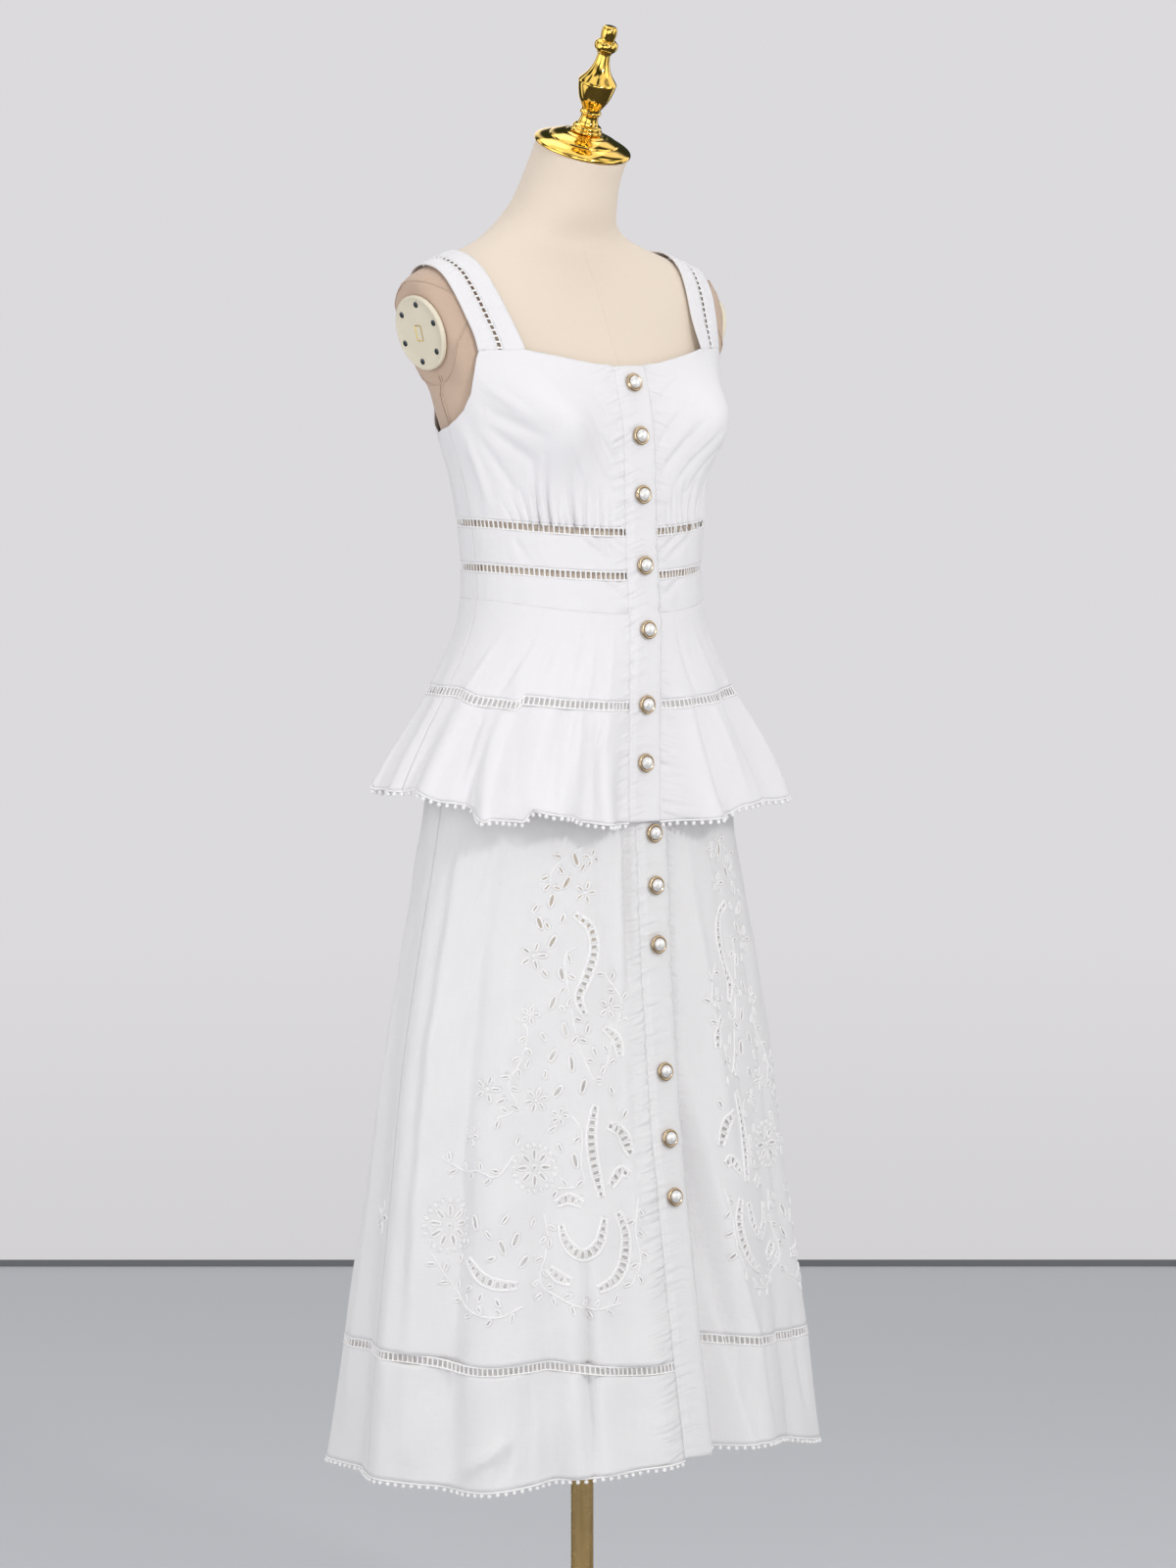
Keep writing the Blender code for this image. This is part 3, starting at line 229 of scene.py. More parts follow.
# gathers under the bust: turn at the seam, turn where it dies out, length, half width in metres, depth
bustGathers = (
    (15.5, 14.5, 0.030, 0.0016, -0.0020), (19.5, 18.0, 0.045, 0.0018, -0.0026), (23.5, 21.0, 0.036, 0.0017, -0.0018),
    (27.5, 25.5, 0.052, 0.0021, -0.0034), (31.8, 34.0, 0.054, 0.0024, -0.0053), (35.6, 38.0, 0.026, 0.0016, -0.0018),
    (39.0, 40.0, 0.044, 0.0019, -0.0022), (43.0, 46.0, 0.076, 0.0024, -0.0051), (48.5, 50.5, 0.070, 0.0024, -0.0049),
    (52.5, 56.5, 0.040, 0.0018, -0.0022), (56.5, 62.0, 0.034, 0.0017, -0.0018), (61.0, 67.0, 0.026, 0.0017, -0.0014),
)
bodiceCreases = (
    (-25.0, 1.312, -9.5, 1.250, 0.0052, -0.0028), (-31.0, 1.296, -14.0, 1.236, 0.0048, -0.0026),
    (-18.0, 1.330, -8.8, 1.290, 0.0042, -0.0020), (-36.0, 1.282, -20.0, 1.232, 0.0042, 0.0018),
    (-21.0, 1.300, -9.0, 1.268, 0.0034, 0.0014), (-63.7, 1.312, -46.0, 1.286, 0.0060, -0.0024),
    (-66.0, 1.296, -49.0, 1.262, 0.0060, -0.0022), (-70.0, 1.282, -58.0, 1.232, 0.0065, -0.0020),
    (-78.0, 1.280, -74.0, 1.226, 0.0070, 0.0016), (-58.0, 1.334, -50.0, 1.306, 0.0060, 0.0016),
    (24.0, 1.322, 9.5, 1.276, 0.0045, -0.0030), (30.0, 1.306, 12.0, 1.250, 0.0042, -0.0030),
    (20.0, 1.340, 9.5, 1.318, 0.0038, -0.0020), (37.0, 1.292, 20.0, 1.240, 0.0042, -0.0026),
    (27.0, 1.318, 12.0, 1.264, 0.0036, 0.0018), (41.0, 1.276, 28.0, 1.232, 0.0036, -0.0024),
    (62.0, 1.312, 47.0, 1.284, 0.0060, -0.0022), (68.0, 1.288, 55.0, 1.244, 0.0060, -0.0020),
    (78.0, 1.278, 72.0, 1.226, 0.0070, 0.0014), (112.0, 1.280, 124.0, 1.225, 0.0070, -0.0022),
    (150.0, 1.300, 152.0, 1.225, 0.0080, -0.0018), (180.0, 1.306, 180.0, 1.225, 0.0070, 0.0014),
    (208.0, 1.300, 206.0, 1.228, 0.0080, -0.0018), (236.0, 1.290, 246.0, 1.226, 0.0070, -0.0020),
)
waistCreases = (
    (-30.3, 1.194, -19.0, 1.172, 0.0030, -0.0022), (-24.0, 1.196, -9.0, 1.168, 0.0032, -0.0027),
    (-18.0, 1.193, -8.8, 1.180, 0.0028, -0.0022), (-27.0, 1.192, -14.0, 1.171, 0.0024, 0.0014),
    (-20.1, 1.151, -9.0, 1.132, 0.0030, -0.0020), (-14.0, 1.150, -8.8, 1.144, 0.0026, -0.0016),
    (-14.0, 1.121, -8.8, 1.119, 0.0024, -0.0014), (26.0, 1.194, 9.5, 1.174, 0.0032, -0.0024),
    (34.0, 1.190, 14.0, 1.168, 0.0032, -0.0020), (26.0, 1.150, 10.0, 1.132, 0.0032, -0.0020),
    (-62.0, 1.190, -56.0, 1.170, 0.0040, -0.0014), (120.0, 1.190, 132.0, 1.140, 0.0050, -0.0014),
    (200.0, 1.190, 190.0, 1.142, 0.0050, -0.0014), (240.0, 1.186, 232.0, 1.142, 0.0050, -0.0012),
)
peplumCreases = (
    (-66.0, 1.030, -67.0, 0.940, 0.0100, -0.0070), (-57.0, 1.028, -56.0, 0.940, 0.0090, 0.0040),
    (-47.5, 1.030, -47.0, 0.930, 0.0095, -0.0078), (-40.0, 1.030, -40.5, 0.930, 0.0085, 0.0040),
    (-33.5, 1.030, -34.0, 0.930, 0.0085, -0.0074), (-27.0, 1.028, -26.0, 0.930, 0.0075, 0.0040),
    (-20.5, 1.000, -20.0, 0.925, 0.0050, -0.0038), (20.0, 1.030, 20.0, 0.930, 0.0060, -0.0040),
    (28.0, 1.030, 29.0, 0.930, 0.0070, 0.0026), (38.0, 1.030, 40.0, 0.930, 0.0085, -0.0070),
    (52.0, 1.030, 53.0, 0.935, 0.0080, 0.0028), (64.0, 1.030, 65.0, 0.940, 0.0080, -0.0040),
    (-48.0, 1.118, -62.0, 1.040, 0.0050, -0.0030), (-40.0, 1.112, -46.0, 1.050, 0.0060, 0.0016),
    (-66.0, 1.115, -78.0, 1.045, 0.0060, 0.0016), (-28.0, 1.112, -31.0, 1.045, 0.0050, -0.0020),
    (-15.0, 1.105, -17.0, 1.040, 0.0045, 0.0016), (-24.0, 1.100, -25.0, 1.030, 0.0040, 0.0012),
    (-20.0, 1.020, -21.0, 0.985, 0.0036, 0.0026), (-16.0, 1.016, -17.5, 0.990, 0.0030, 0.0018),
    (-28.0, 1.022, -29.0, 0.980, 0.0036, -0.0020), (18.0, 1.110, 22.0, 1.040, 0.0050, -0.0020),
    (30.0, 1.112, 36.0, 1.045, 0.0060, 0.0016), (44.0, 1.115, 54.0, 1.045, 0.0050, -0.0026),
    (66.0, 1.115, 74.0, 1.045, 0.0060, -0.0018), (110.0, 1.115, 106.0, 1.045, 0.0060, -0.0020),
    (138.0, 1.115, 136.0, 1.045, 0.0060, -0.0022), (172.0, 1.115, 168.0, 1.045, 0.0060, 0.0020),
    (206.0, 1.115, 210.0, 1.045, 0.0060, -0.0022), (240.0, 1.115, 246.0, 1.045, 0.0060, -0.0020),
)
skirtCreases = (
    (-41.2, 0.400, -42.5, 0.290, 0.0055, -0.0050), (-25.0, 0.505, -26.5, 0.295, 0.0042, -0.0085),
    (-29.5, 0.480, -31.0, 0.295, 0.0075, 0.0034),
    (-58.0, 0.304, -46.0, 0.336, 0.0060, 0.0056), (-45.5, 0.338, -49.0, 0.295, 0.0045, -0.0048),
    (-30.0, 0.640, -31.0, 0.450, 0.0060, -0.0022), (-14.0, 0.700, -13.0, 0.480, 0.0050, -0.0026),
    (-59.0, 0.900, -63.0, 0.320, 0.0150, -0.0066), (-73.0, 0.900, -76.0, 0.320, 0.0130, 0.0056),
    (-46.0, 0.900, -50.0, 0.520, 0.0140, 0.0024),
    (-20.0, 0.910, -15.0, 0.700, 0.0075, -0.0030),
    (-9.8, 0.925, -9.0, 0.760, 0.0050, -0.0085), (-13.2, 0.925, -12.4, 0.740, 0.0060, 0.0034),
    (-9.0, 0.740, -9.5, 0.480, 0.0060, -0.0034), (7.0, 0.700, 19.0, 0.310, 0.0045, -0.0088),
    (10.5, 0.680, 24.5, 0.320, 0.0070, 0.0044), (16.0, 0.880, 22.0, 0.600, 0.0090, 0.0030),
    (30.0, 0.870, 33.0, 0.600, 0.0090, -0.0020), (46.0, 0.820, 48.0, 0.480, 0.0090, -0.0024),
    (64.0, 0.860, 65.0, 0.480, 0.0100, 0.0022), (26.0, 0.440, 25.0, 0.330, 0.0060, -0.0030),
    (48.0, 0.430, 49.0, 0.330, 0.0060, -0.0028), (84.0, 0.800, 84.0, 0.400, 0.0080, -0.0014),
    (104.0, 0.800, 106.0, 0.350, 0.0100, 0.0030), (124.0, 0.850, 125.0, 0.350, 0.0100, -0.0030),
    (144.0, 0.800, 143.0, 0.330, 0.0090, 0.0030), (163.0, 0.850, 162.0, 0.330, 0.0100, -0.0026),
    (181.0, 0.820, 180.0, 0.330, 0.0090, 0.0024), (198.0, 0.850, 197.0, 0.330, 0.0100, -0.0030),
    (214.0, 0.800, 215.0, 0.340, 0.0090, 0.0026), (232.0, 0.850, 233.0, 0.340, 0.0100, -0.0028),
    (250.0, 0.800, 250.0, 0.340, 0.0100, 0.0026),
)


def makePuckers(seed, low, high, pitch):
    # short wrinkles that the placket's seam pulls into the cloth beside it
    random = np.random.default_rng(seed)
    heights = np.arange(low, high, 0.0005)
    profile = np.zeros(len(heights))
    z = low
    while z < high:
        profile += random.uniform(0.3, 1.0) * bell(heights - z, random.uniform(0.0024, 0.0042))
        z += pitch * random.uniform(0.7, 1.5)
    return heights, profile


puckers = {-1: makePuckers(17, 0.30, 1.35, 0.0125), 1: makePuckers(23, 0.30, 1.35, 0.0150)}


def puckerField(turn, z, arc, depth):
    wrapped = wrapTurn(turn)
    distance = np.abs(wrapped) * arc - 0.0195
    offset = np.zeros(np.broadcast(turn, z).shape)
    for side in (-1, 1):
        heights, profile = puckers[side]
        comb = np.interp(z + 0.30 * distance, heights, profile)
        offset += np.where(wrapped * side > 0, comb, 0.0)
    return -depth * offset * np.where(distance > 0, bell(distance, 0.0125), bell(distance, 0.004))


def bodicePlace(turn, z):
    turn, z = np.broadcast_arrays(np.asarray(turn, float), np.asarray(z, float))
    width, depth, middle = readTable(bodiceSections, z)
    wrapped = wrapTurn(turn)
    angle = np.radians(wrapped)
    spread = np.where(z > 1.303, 0.038, 0.048)
    cup = 0.040 * bell(np.abs(wrapped) - 38.0, 17.5) * bell(z - 1.303, spread)
    rise = z - seamHeight("bustLadder", turn)
    gather = np.zeros(turn.shape)
    for seamTurn, endTurn, length, grooveWidth, grooveDepth in bustGathers:
        share = np.clip(rise / length, 0.0, 1.0)
        sideways = (np.abs(wrapped) - lerp(seamTurn, endTurn, share)) * arcs["bodice"]
        fade = np.where(rise > 0.0, (1.0 - share) ** 0.8, 0.0)
        gather += creaseScale["gather"] * grooveDepth * bell(sideways, grooveWidth * (1.0 + share)) * fade
        ridge = sideways - grooveWidth * 2.0
        gather -= creaseScale["ridge"] * grooveDepth * bell(ridge, grooveWidth * 0.9) * fade
    above = smoothStep(rise, 0.0, 0.012)
    fold = creaseScale["bodice"] * creaseField(turn, z, bodiceCreases, arcs["bodice"]) * above
    fold += creaseScale["bodice"] * creaseField(turn, z, waistCreases, arcs["bodice"]) * (rise < 0.0)
    fold += rumple(turn, z, arcs["bodice"], 0.045, 0.00045, 3)
    placketClear = 1.0 - bell(wrapped, 7.5)
    out = (gather + fold) * placketClear + puckerField(turn, z, arcs["bodice"], 0.0018)
    x = (width + out) * np.sin(angle)
    y = middle - (depth + out) * np.cos(angle) - cup
    return np.stack((x, y, z), -1)


def peplumPlace(turn, z):
    turn, z = np.broadcast_arrays(np.asarray(turn, float), np.asarray(z, float))
    width, depth, middle, pull, drift = readTable(peplumSections, z)
    wrapped = wrapTurn(turn)
    angle = np.radians(wrapped)
    flare = np.clip((1.10 - z) / 0.17, 0.0, 1.15)
    wave = np.cos(20.0 * angle + 1.3 * np.sin(3.0 * angle)) * (1.0 - bell(wrapped, 11.0))
    out = 0.0105 * flare ** 1.8 * wave
    for foldTurn, foldWidth, foldDepth in peplumFolds:
        out = out + foldDepth * flare ** 2.2 * bell(wrapTurn(turn - foldTurn), foldWidth)
    extra = creaseScale["peplum"] * creaseField(turn, z, peplumCreases, arcs["peplum"])
    extra += rumple(turn, z, arcs["peplum"], 0.060, 0.0007, 5) * np.minimum(flare * 2.0, 1.0)
    out = out + extra * (1.0 - bell(wrapped, 8.0)) * np.minimum(flare * 4.0 + 0.2, 1.0)
    out = out + puckerField(turn, z, 0.0030, 0.0018)
    x = (width + out) * np.sin(angle) + drift * bell(wrapped, 22.0)
    y = middle - (depth + out) * np.cos(angle) + pull * bell(wrapped, 15.0)
    return np.stack((x, y, z), -1)


def skirtPlace(turn, z):
    turn, z = np.broadcast_arrays(np.asarray(turn, float), np.asarray(z, float))
    width, depth, middle = readTable(skirtSections, z)
    angle = np.radians(wrapTurn(turn))
    out = -0.0022 * np.clip((z - 0.93) / 0.15, 0.0, 1.0)
    for foldTurn, foldWidth, foldDepth, foldTop in skirtFolds:
        growth = np.clip((foldTop - z) / (foldTop - seams["skirtHem"]), 0.0, 1.5) ** 1.15
        out = out + foldDepth * growth * bell(wrapTurn(turn - foldTurn), foldWidth)
    extra = creaseScale["skirt"] * creaseField(turn, z, skirtCreases, arcs["skirt"])
    extra += rumple(turn, z, arcs["skirt"], 0.085, 0.0010, 11)
    out = out + extra * (1.0 - bell(wrapTurn(turn), 5.5)) * np.clip((1.10 - z) / 0.12, 0.0, 1.0)
    out = out + puckerField(turn, z, arcs["skirt"], 0.0020)
    x = (width + out) * np.sin(angle)
    y = middle - (depth + out) * np.cos(angle)
    return np.stack((x, y, z), -1)


def upperFrontPlace(turn, z):
    # the front under the upper placket: bodice and waistbands, then the peplum
    turn, z = np.broadcast_arrays(np.asarray(turn, float), np.asarray(z, float))
    return np.where((z > 1.116)[..., None], bodicePlace(turn, z), peplumPlace(turn, z))


armPlates = {
    "centre": (0.1700, 0.031, 1.386), "radius": 0.037, "thick": 0.005, "drop": 15.0,
    "screws": 6, "screwRing": 0.0285, "screwRadius": 0.0030, "slot": (0.0075, 0.0125),
}


def formPlace(turn, z):
    turn, z = np.broadcast_arrays(np.asarray(turn, float), np.asarray(z, float))
    width, depth, middle = readTable(formSections, z)
    wrapped = wrapTurn(turn)
    angle = np.radians(wrapped)
    bust = 0.034 * bell(np.abs(wrapped) - 38.0, 17.0) * bell(z - 1.300, np.where(z > 1.300, 0.036, 0.040))
    x = width * np.sin(angle)
    y = middle - depth * np.cos(angle) - bust
    flat = armPlates["centre"][0] - armPlates["thick"] / 2 - 0.0010
    flat = flat + math.tan(math.radians(armPlates["drop"])) * (z - armPlates["centre"][2])
    soft = 0.0035
    held = np.where(np.abs(x) < flat - soft, np.abs(x),
                    flat - soft * np.exp(-np.maximum(np.abs(x) - flat + soft, 0.0) / soft))
    inRange = smoothStep(z, 1.325, 1.340) * (1.0 - smoothStep(z, 1.428, 1.440))
    x = np.sign(x) * lerp(np.abs(x), held, inRange)
    neck = np.clip((z - 1.474) / (formSections[-1][0] - 1.474), 0.0, 1.0)
    drop = (y - middle) * math.tan(math.radians(neckTilt)) * neck
    return np.stack((x, y, z + drop), -1)


def normalsOf(place, turn, z):
    along = place(turn + 0.25, z) - place(turn - 0.25, z)
    up = place(turn, z + 0.0008) - place(turn, z - 0.0008)
    normal = np.cross(along, up)
    return normal / np.linalg.norm(normal, axis=-1, keepdims=True)


def raised(place, turn, z, lift):
    return place(turn, z) + normalsOf(place, np.asarray(turn, float), np.asarray(z, float)) * lift


def turnAt(place, x, z):
    z = np.asarray(z, float)
    low, high = np.full(z.shape, -40.0), np.full(z.shape, 40.0)
    for halving in range(26):
        middle = (low + high) / 2
        left = place(middle, z)[..., 0] < x
        low, high = np.where(left, middle, low), np.where(left, high, middle)
    return low


def xEdge(place, x):
    # an edge that runs straight down the front, at x from the drifting centre line
    return lambda z: turnAt(place, place(np.zeros(np.shape(z)), z)[..., 0] + x, z)


def fixedEdge(turn):
    return lambda z: np.full(np.shape(z), float(turn))


# materials
def fill(tree, node, values):
    # each value is a number, a vector or a colour to set, or a socket to link
    for name, value in values.items():
        if isinstance(value, bpy.types.NodeSocket):
            tree.links.new(value, node.inputs[name])
        else:
            node.inputs[name].default_value = value
    return node


def addNode(tree, kind, values=None, **settings):
    node = tree.nodes.new(kind)
    for name, value in settings.items():
        setattr(node, name, value)
    return fill(tree, node, values or {})


def newGroup(name, inputs, outputs):
    group = bpy.data.node_groups.new(name, "ShaderNodeTree")
    for socketName, kind, value in inputs:
        socket = group.interface.new_socket(name=socketName, in_out="INPUT", socket_type="NodeSocket" + kind)
        if value is not None:
            socket.default_value = value
    for socketName, kind in outputs:
        group.interface.new_socket(name=socketName, in_out="OUTPUT", socket_type="NodeSocket" + kind)
    return group, group.nodes.new("NodeGroupInput").outputs, group.nodes.new("NodeGroupOutput")


def mathNode(tree, operation, *terms):
    return addNode(tree, "ShaderNodeMath", dict(enumerate(terms)), operation=operation).outputs[0]


def noiseNode(tree, vector, scale, detail=2.0, roughness=0.5, output="Fac"):
    return addNode(tree, "ShaderNodeTexNoise", {"Vector": vector, "Scale": scale, "Detail": detail,
                                                "Roughness": roughness}).outputs[output]


def stretched(tree, vector, scale):
    return addNode(tree, "ShaderNodeMapping", {"Vector": vector, "Scale": scale}).outputs["Vector"]


def mapRange(tree, value, fromLow, fromHigh, toLow=0.0, toHigh=1.0, **settings):
    return addNode(tree, "ShaderNodeMapRange", {"Value": value, "From Min": fromLow, "From Max": fromHigh,
                                                "To Min": toLow, "To Max": toHigh}, **settings).outputs[0]


def axesOf(tree, vector):
    return addNode(tree, "ShaderNodeSeparateXYZ", {0: vector}).outputs


def objectPlace(tree):
    return addNode(tree, "ShaderNodeTexCoord").outputs["Object"]


def mixColour(tree, factor, first, second):
    first, second = ((*value, 1.0) if isinstance(value, tuple) else value for value in (first, second))
    return addNode(tree, "ShaderNodeMix", {0: factor, 6: first, 7: second}, data_type="RGBA").outputs[2]


def bumpNode(tree, height, strength, distance, below=None):
    values = {"Height": height, "Strength": strength, "Distance": distance}
    if below:
        values["Normal"] = below
    return addNode(tree, "ShaderNodeBump", values).outputs["Normal"]


def placeGroup(tree, group, values):
    return addNode(tree, "ShaderNodeGroup", values, node_tree=group).outputs


def ridgeOf(tree, noise):
    return mathNode(tree, "ABSOLUTE", mathNode(tree, "SUBTRACT", noise, 0.5))


def makeWeaveGroup():
    # plain weave with uneven threads: a height for bump and a tone for colour
    group, start, end = newGroup("plainWeave", (("vector", "Vector", None), ("threads", "Float", 5200.0),
                                                ("slub", "Float", 0.5)), (("height", "Float"), ("tone", "Float")))
    axes = axesOf(group, start["vector"])
    warp, weft = (mathNode(group, "SINE", mathNode(group, "MULTIPLY", axes[i], start["threads"])) for i in (0, 1))
    slubs = mathNode(group, "ADD", *(noiseNode(group, stretched(group, start["vector"], squeeze), 1.0, 3.0)
                                     for squeeze in ((1500.0, 42.0, 1.0), (42.0, 1500.0, 1.0))))
    height = mathNode(group, "MULTIPLY_ADD", mathNode(group, "MULTIPLY", warp, weft), 0.16,
                      mathNode(group, "MULTIPLY", slubs, start["slub"]))
    fill(group, end, {"height": height, "tone": mathNode(group, "MULTIPLY", slubs, 0.5)})
    return group


def makeCreaseGroup():
    # small soft creases left by wear and handling
    group, start, end = newGroup("softCreases", (("vector", "Vector", None), ("size", "Float", 26.0)),
                                 (("height", "Float"),))
    twist = noiseNode(group, start["vector"], 9.0, output="Color")
    bent = addNode(group, "ShaderNodeVectorMath", {0: twist, 1: (0.045, 0.045, 0.045), 2: start["vector"]},
                   operation="MULTIPLY_ADD").outputs[0]
    ridge = ridgeOf(group, noiseNode(group, bent, start["size"], 3.0, 0.45))
    fill(group, end, {"height": mathNode(group, "SMOOTH_MIN", ridge, 0.16, 0.08)})
    return group


def makePuckerGroup():
    # short wrinkles across the front seam, on the cloth's own coordinates: metres from centre front, height
    group, start, end = newGroup("seamPuckers", (("vector", "Vector", None),), (("height", "Float"),))
    axes = axesOf(group, start["vector"])
    away = mathNode(group, "ABSOLUTE", axes[0])
    slant = mathNode(group, "MULTIPLY_ADD", away, 0.30, axes[1])
    joined = addNode(group, "ShaderNodeCombineXYZ", {0: mathNode(group, "MULTIPLY", axes[0], 16.0),
                                                     1: mathNode(group, "MULTIPLY", slant, 88.0)})
    ridge = ridgeOf(group, noiseNode(group, joined.outputs[0], 1.0, 2.0, 0.45))
    near = mapRange(group, away, 0.020, 0.050, 1.0, 0.0, interpolation_type="SMOOTHSTEP")
    strip = mapRange(group, axes[0], -0.019, 0.006, 1.0, 0.20)
    share = mathNode(group, "MAXIMUM", mathNode(group, "GREATER_THAN", away, 0.0195), strip)
    fill(group, end, {"height": mathNode(group, "MULTIPLY", mathNode(group, "MULTIPLY", ridge, near), share)})
    return group


def makeSeenThroughGroup():
    # painted light: an emission glow that stands in for light reaching a hidden surface through the cloth over it,
    # between two heights
    group, start, end = newGroup("seenThrough", (("vector", "Vector", None), ("colour", "Color", (1, 1, 1, 1)),
                                                 ("low", "Float", 0.0), ("lowSoft", "Float", 0.0),
                                                 ("high", "Float", 1.0), ("highSoft", "Float", 1.0)),
                                 (("glow", "Color"),))
    rise = axesOf(group, start["vector"])[2]
    both = mathNode(group, "MULTIPLY", mapRange(group, rise, start["low"], start["lowSoft"]),
                    mapRange(group, rise, start["high"], start["highSoft"], 1.0, 0.0))
    fill(group, end, {"glow": mixColour(group, both, (0.0, 0.0, 0.0), start["colour"])})
    return group


weaveGroup = makeWeaveGroup()
creaseGroup = makeCreaseGroup()
puckerGroup = makePuckerGroup()
paintedGlowGroup = makeSeenThroughGroup()


def newMaterial(name, **values):
    material = bpy.data.materials.new(name)
    material.use_nodes = True
    tree, shader = material.node_tree, material.node_tree.nodes["Principled BSDF"]
    fill(tree, shader, {socketName.replace("_", " "): value for socketName, value in values.items()})
    return material, tree, shader


def seenThrough(tree, shader, colour, low, lowSoft, high, highSoft):
    glow = placeGroup(tree, paintedGlowGroup, {"vector": objectPlace(tree), "colour": (*colour, 1.0), "low": low,
                                               "lowSoft": lowSoft, "high": high, "highSoft": highSoft})["glow"]
    # painted light: the hidden surface glows as if lit through the cloth
    fill(tree, shader, {"Emission Color": glow, "Emission Strength": 1.0})


clothLooks = {
    "bodiceCotton": {"light": (0.84, 0.828, 0.840), "dark": (0.76, 0.748, 0.760), "slub": 0.45, "crease": 0.45},
    "skirtCotton": {"light": (0.83, 0.822, 0.822), "dark": (0.73, 0.722, 0.722), "slub": 0.62, "crease": 0.55},
}
# thin cotton passes some light on to its other side
letThrough = {"Subsurface_Weight": 0.25, "Subsurface_Radius": (1.0, 0.97, 0.95), "Subsurface_Scale": 0.0007}


def makeCloth(name):
    look = clothLooks[name]
    material, tree, shader = newMaterial(name, Roughness=0.82, Sheen_Weight=0.12, Sheen_Roughness=0.5,
                                         Specular_IOR_Level=0.25, **letThrough)
    place = addNode(tree, "ShaderNodeUVMap", uv_map="clothUv").outputs[0]
    weave = placeGroup(tree, weaveGroup, {"vector": place, "slub": look["slub"]})
    tone = mathNode(tree, "MULTIPLY", weave["tone"], 0.9)
    normal = bumpNode(tree, weave["height"], 0.32, 0.0004)
    for group, strength, distance in ((creaseGroup, look["crease"], 0.004), (puckerGroup, 1.0, 0.0070)):
        normal = bumpNode(tree, placeGroup(tree, group, {"vector": place})["height"], strength, distance, normal)
    fill(tree, shader, {"Base Color": mixColour(tree, tone, look["light"], look["dark"]), "Normal": normal})
    if name == "skirtCotton":
        # painted light: the skirt glows faintly above the peplum's hem, so the peplum ladder's gaps look lit
        seenThrough(tree, shader, (0.21, 0.205, 0.20), 0.955, 0.985, 1.30, 1.31)
    return material


def makeObjectCloth(name, light, dark, grain, roughness=0.85, **values):
    # thread work, piping and enamel: the pattern lies on object coordinates
    material, tree, shader = newMaterial(name, Roughness=roughness, Specular_IOR_Level=0.2, **values)
    noise = noiseNode(tree, objectPlace(tree), grain, 4.0, 0.6)
    fill(tree, shader, {"Base Color": mixColour(tree, noise, light, dark),
                        "Normal": bumpNode(tree, noise, 0.35, 0.0005)})
    return material


formLook = {
    "cream": (0.820, 0.715, 0.600), "creamShade": (0.755, 0.645, 0.530), "beige": (0.620, 0.460, 0.355),
    "beigeShade": (0.520, 0.385, 0.290), "armX": 0.128, "armSoft": 0.0005,
}


def makeFormCover():
    # cream knit on the body and neck, coarser beige linen at the arm ends
    material, tree, shader = newMaterial("formCover", Roughness=0.80, Sheen_Weight=0.15, Specular_IOR_Level=0.25)
    place = objectPlace(tree)
    sideways = mathNode(tree, "ABSOLUTE", axesOf(tree, place)[0])
    arm = mapRange(tree, sideways, formLook["armX"] - formLook["armSoft"], formLook["armX"] + formLook["armSoft"])
    fine, cross = (noiseNode(tree, stretched(tree, place, squeeze), 1.0, 3.0, 0.6)
                   for squeeze in ((900.0, 900.0, 220.0), (180.0, 180.0, 1200.0)))
    weave = mathNode(tree, "MULTIPLY", mathNode(tree, "ADD", fine, cross), 0.5)
    cream = mixColour(tree, weave, formLook["cream"], formLook["creamShade"])
    beige = mixColour(tree, weave, formLook["beige"], formLook["beigeShade"])
    fill(tree, shader, {"Base Color": mixColour(tree, arm, cream, beige),
                        "Normal": bumpNode(tree, weave, 0.30, 0.0006)})
    # painted light: the form glows faintly inside the skirt, so the cutwork's holes look lit
    seenThrough(tree, shader, (0.24, 0.23, 0.215), 0.50, 0.51, 0.93, 1.00)
    return material


def makeGold(name, colour, roughness, metal=1.0):
    material, tree, shader = newMaterial(name, Metallic=metal)
    place = objectPlace(tree)
    smear = noiseNode(tree, place, 60.0, 3.0)
    surface = mixColour(tree, smear, colour, tuple(value * 0.86 for value in colour))
    if name == "poleGold":
        # streaks down the pole, and the pale length inside the skirt
        squeezed = addNode(tree, "ShaderNodeVectorMath", {0: place, 1: (1.0, 1.0, 0.02)}, operation="MULTIPLY")
        streak = noiseNode(tree, squeezed.outputs[0], 260.0, 2.0)
        surface = mixColour(tree, streak, (0.90, 0.66, 0.32), (0.42, 0.27, 0.09))
        inside = mapRange(tree, axesOf(tree, place)[2], 0.325, 0.350)
        surface = mixColour(tree, inside, surface, (0.55, 0.54, 0.52))
        fill(tree, shader, {"Metallic": mathNode(tree, "MULTIPLY_ADD", inside, -metal, metal)})
        # painted light: the pale length of the pole glows inside the skirt, so it looks lit through the holes
        seenThrough(tree, shader, (0.24, 0.235, 0.23), 0.33, 0.36, 1.30, 1.31)
    fill(tree, shader, {"Base Color": surface,
                        "Roughness": mapRange(tree, smear, 0.0, 1.0, roughness * 0.6, roughness * 1.6)})
    return material


def makePearl():
    material, tree, shader = newMaterial("pearlDome", Roughness=0.14, Metallic=0.35, Coat_Weight=0.8,
                                         Coat_Roughness=0.05, Specular_IOR_Level=0.7)
    cloud = noiseNode(tree, objectPlace(tree), 130.0, 2.0)
    fill(tree, shader, {"Base Color": mixColour(tree, cloud, (0.90, 0.89, 0.88), (0.78, 0.77, 0.75))})
    return material


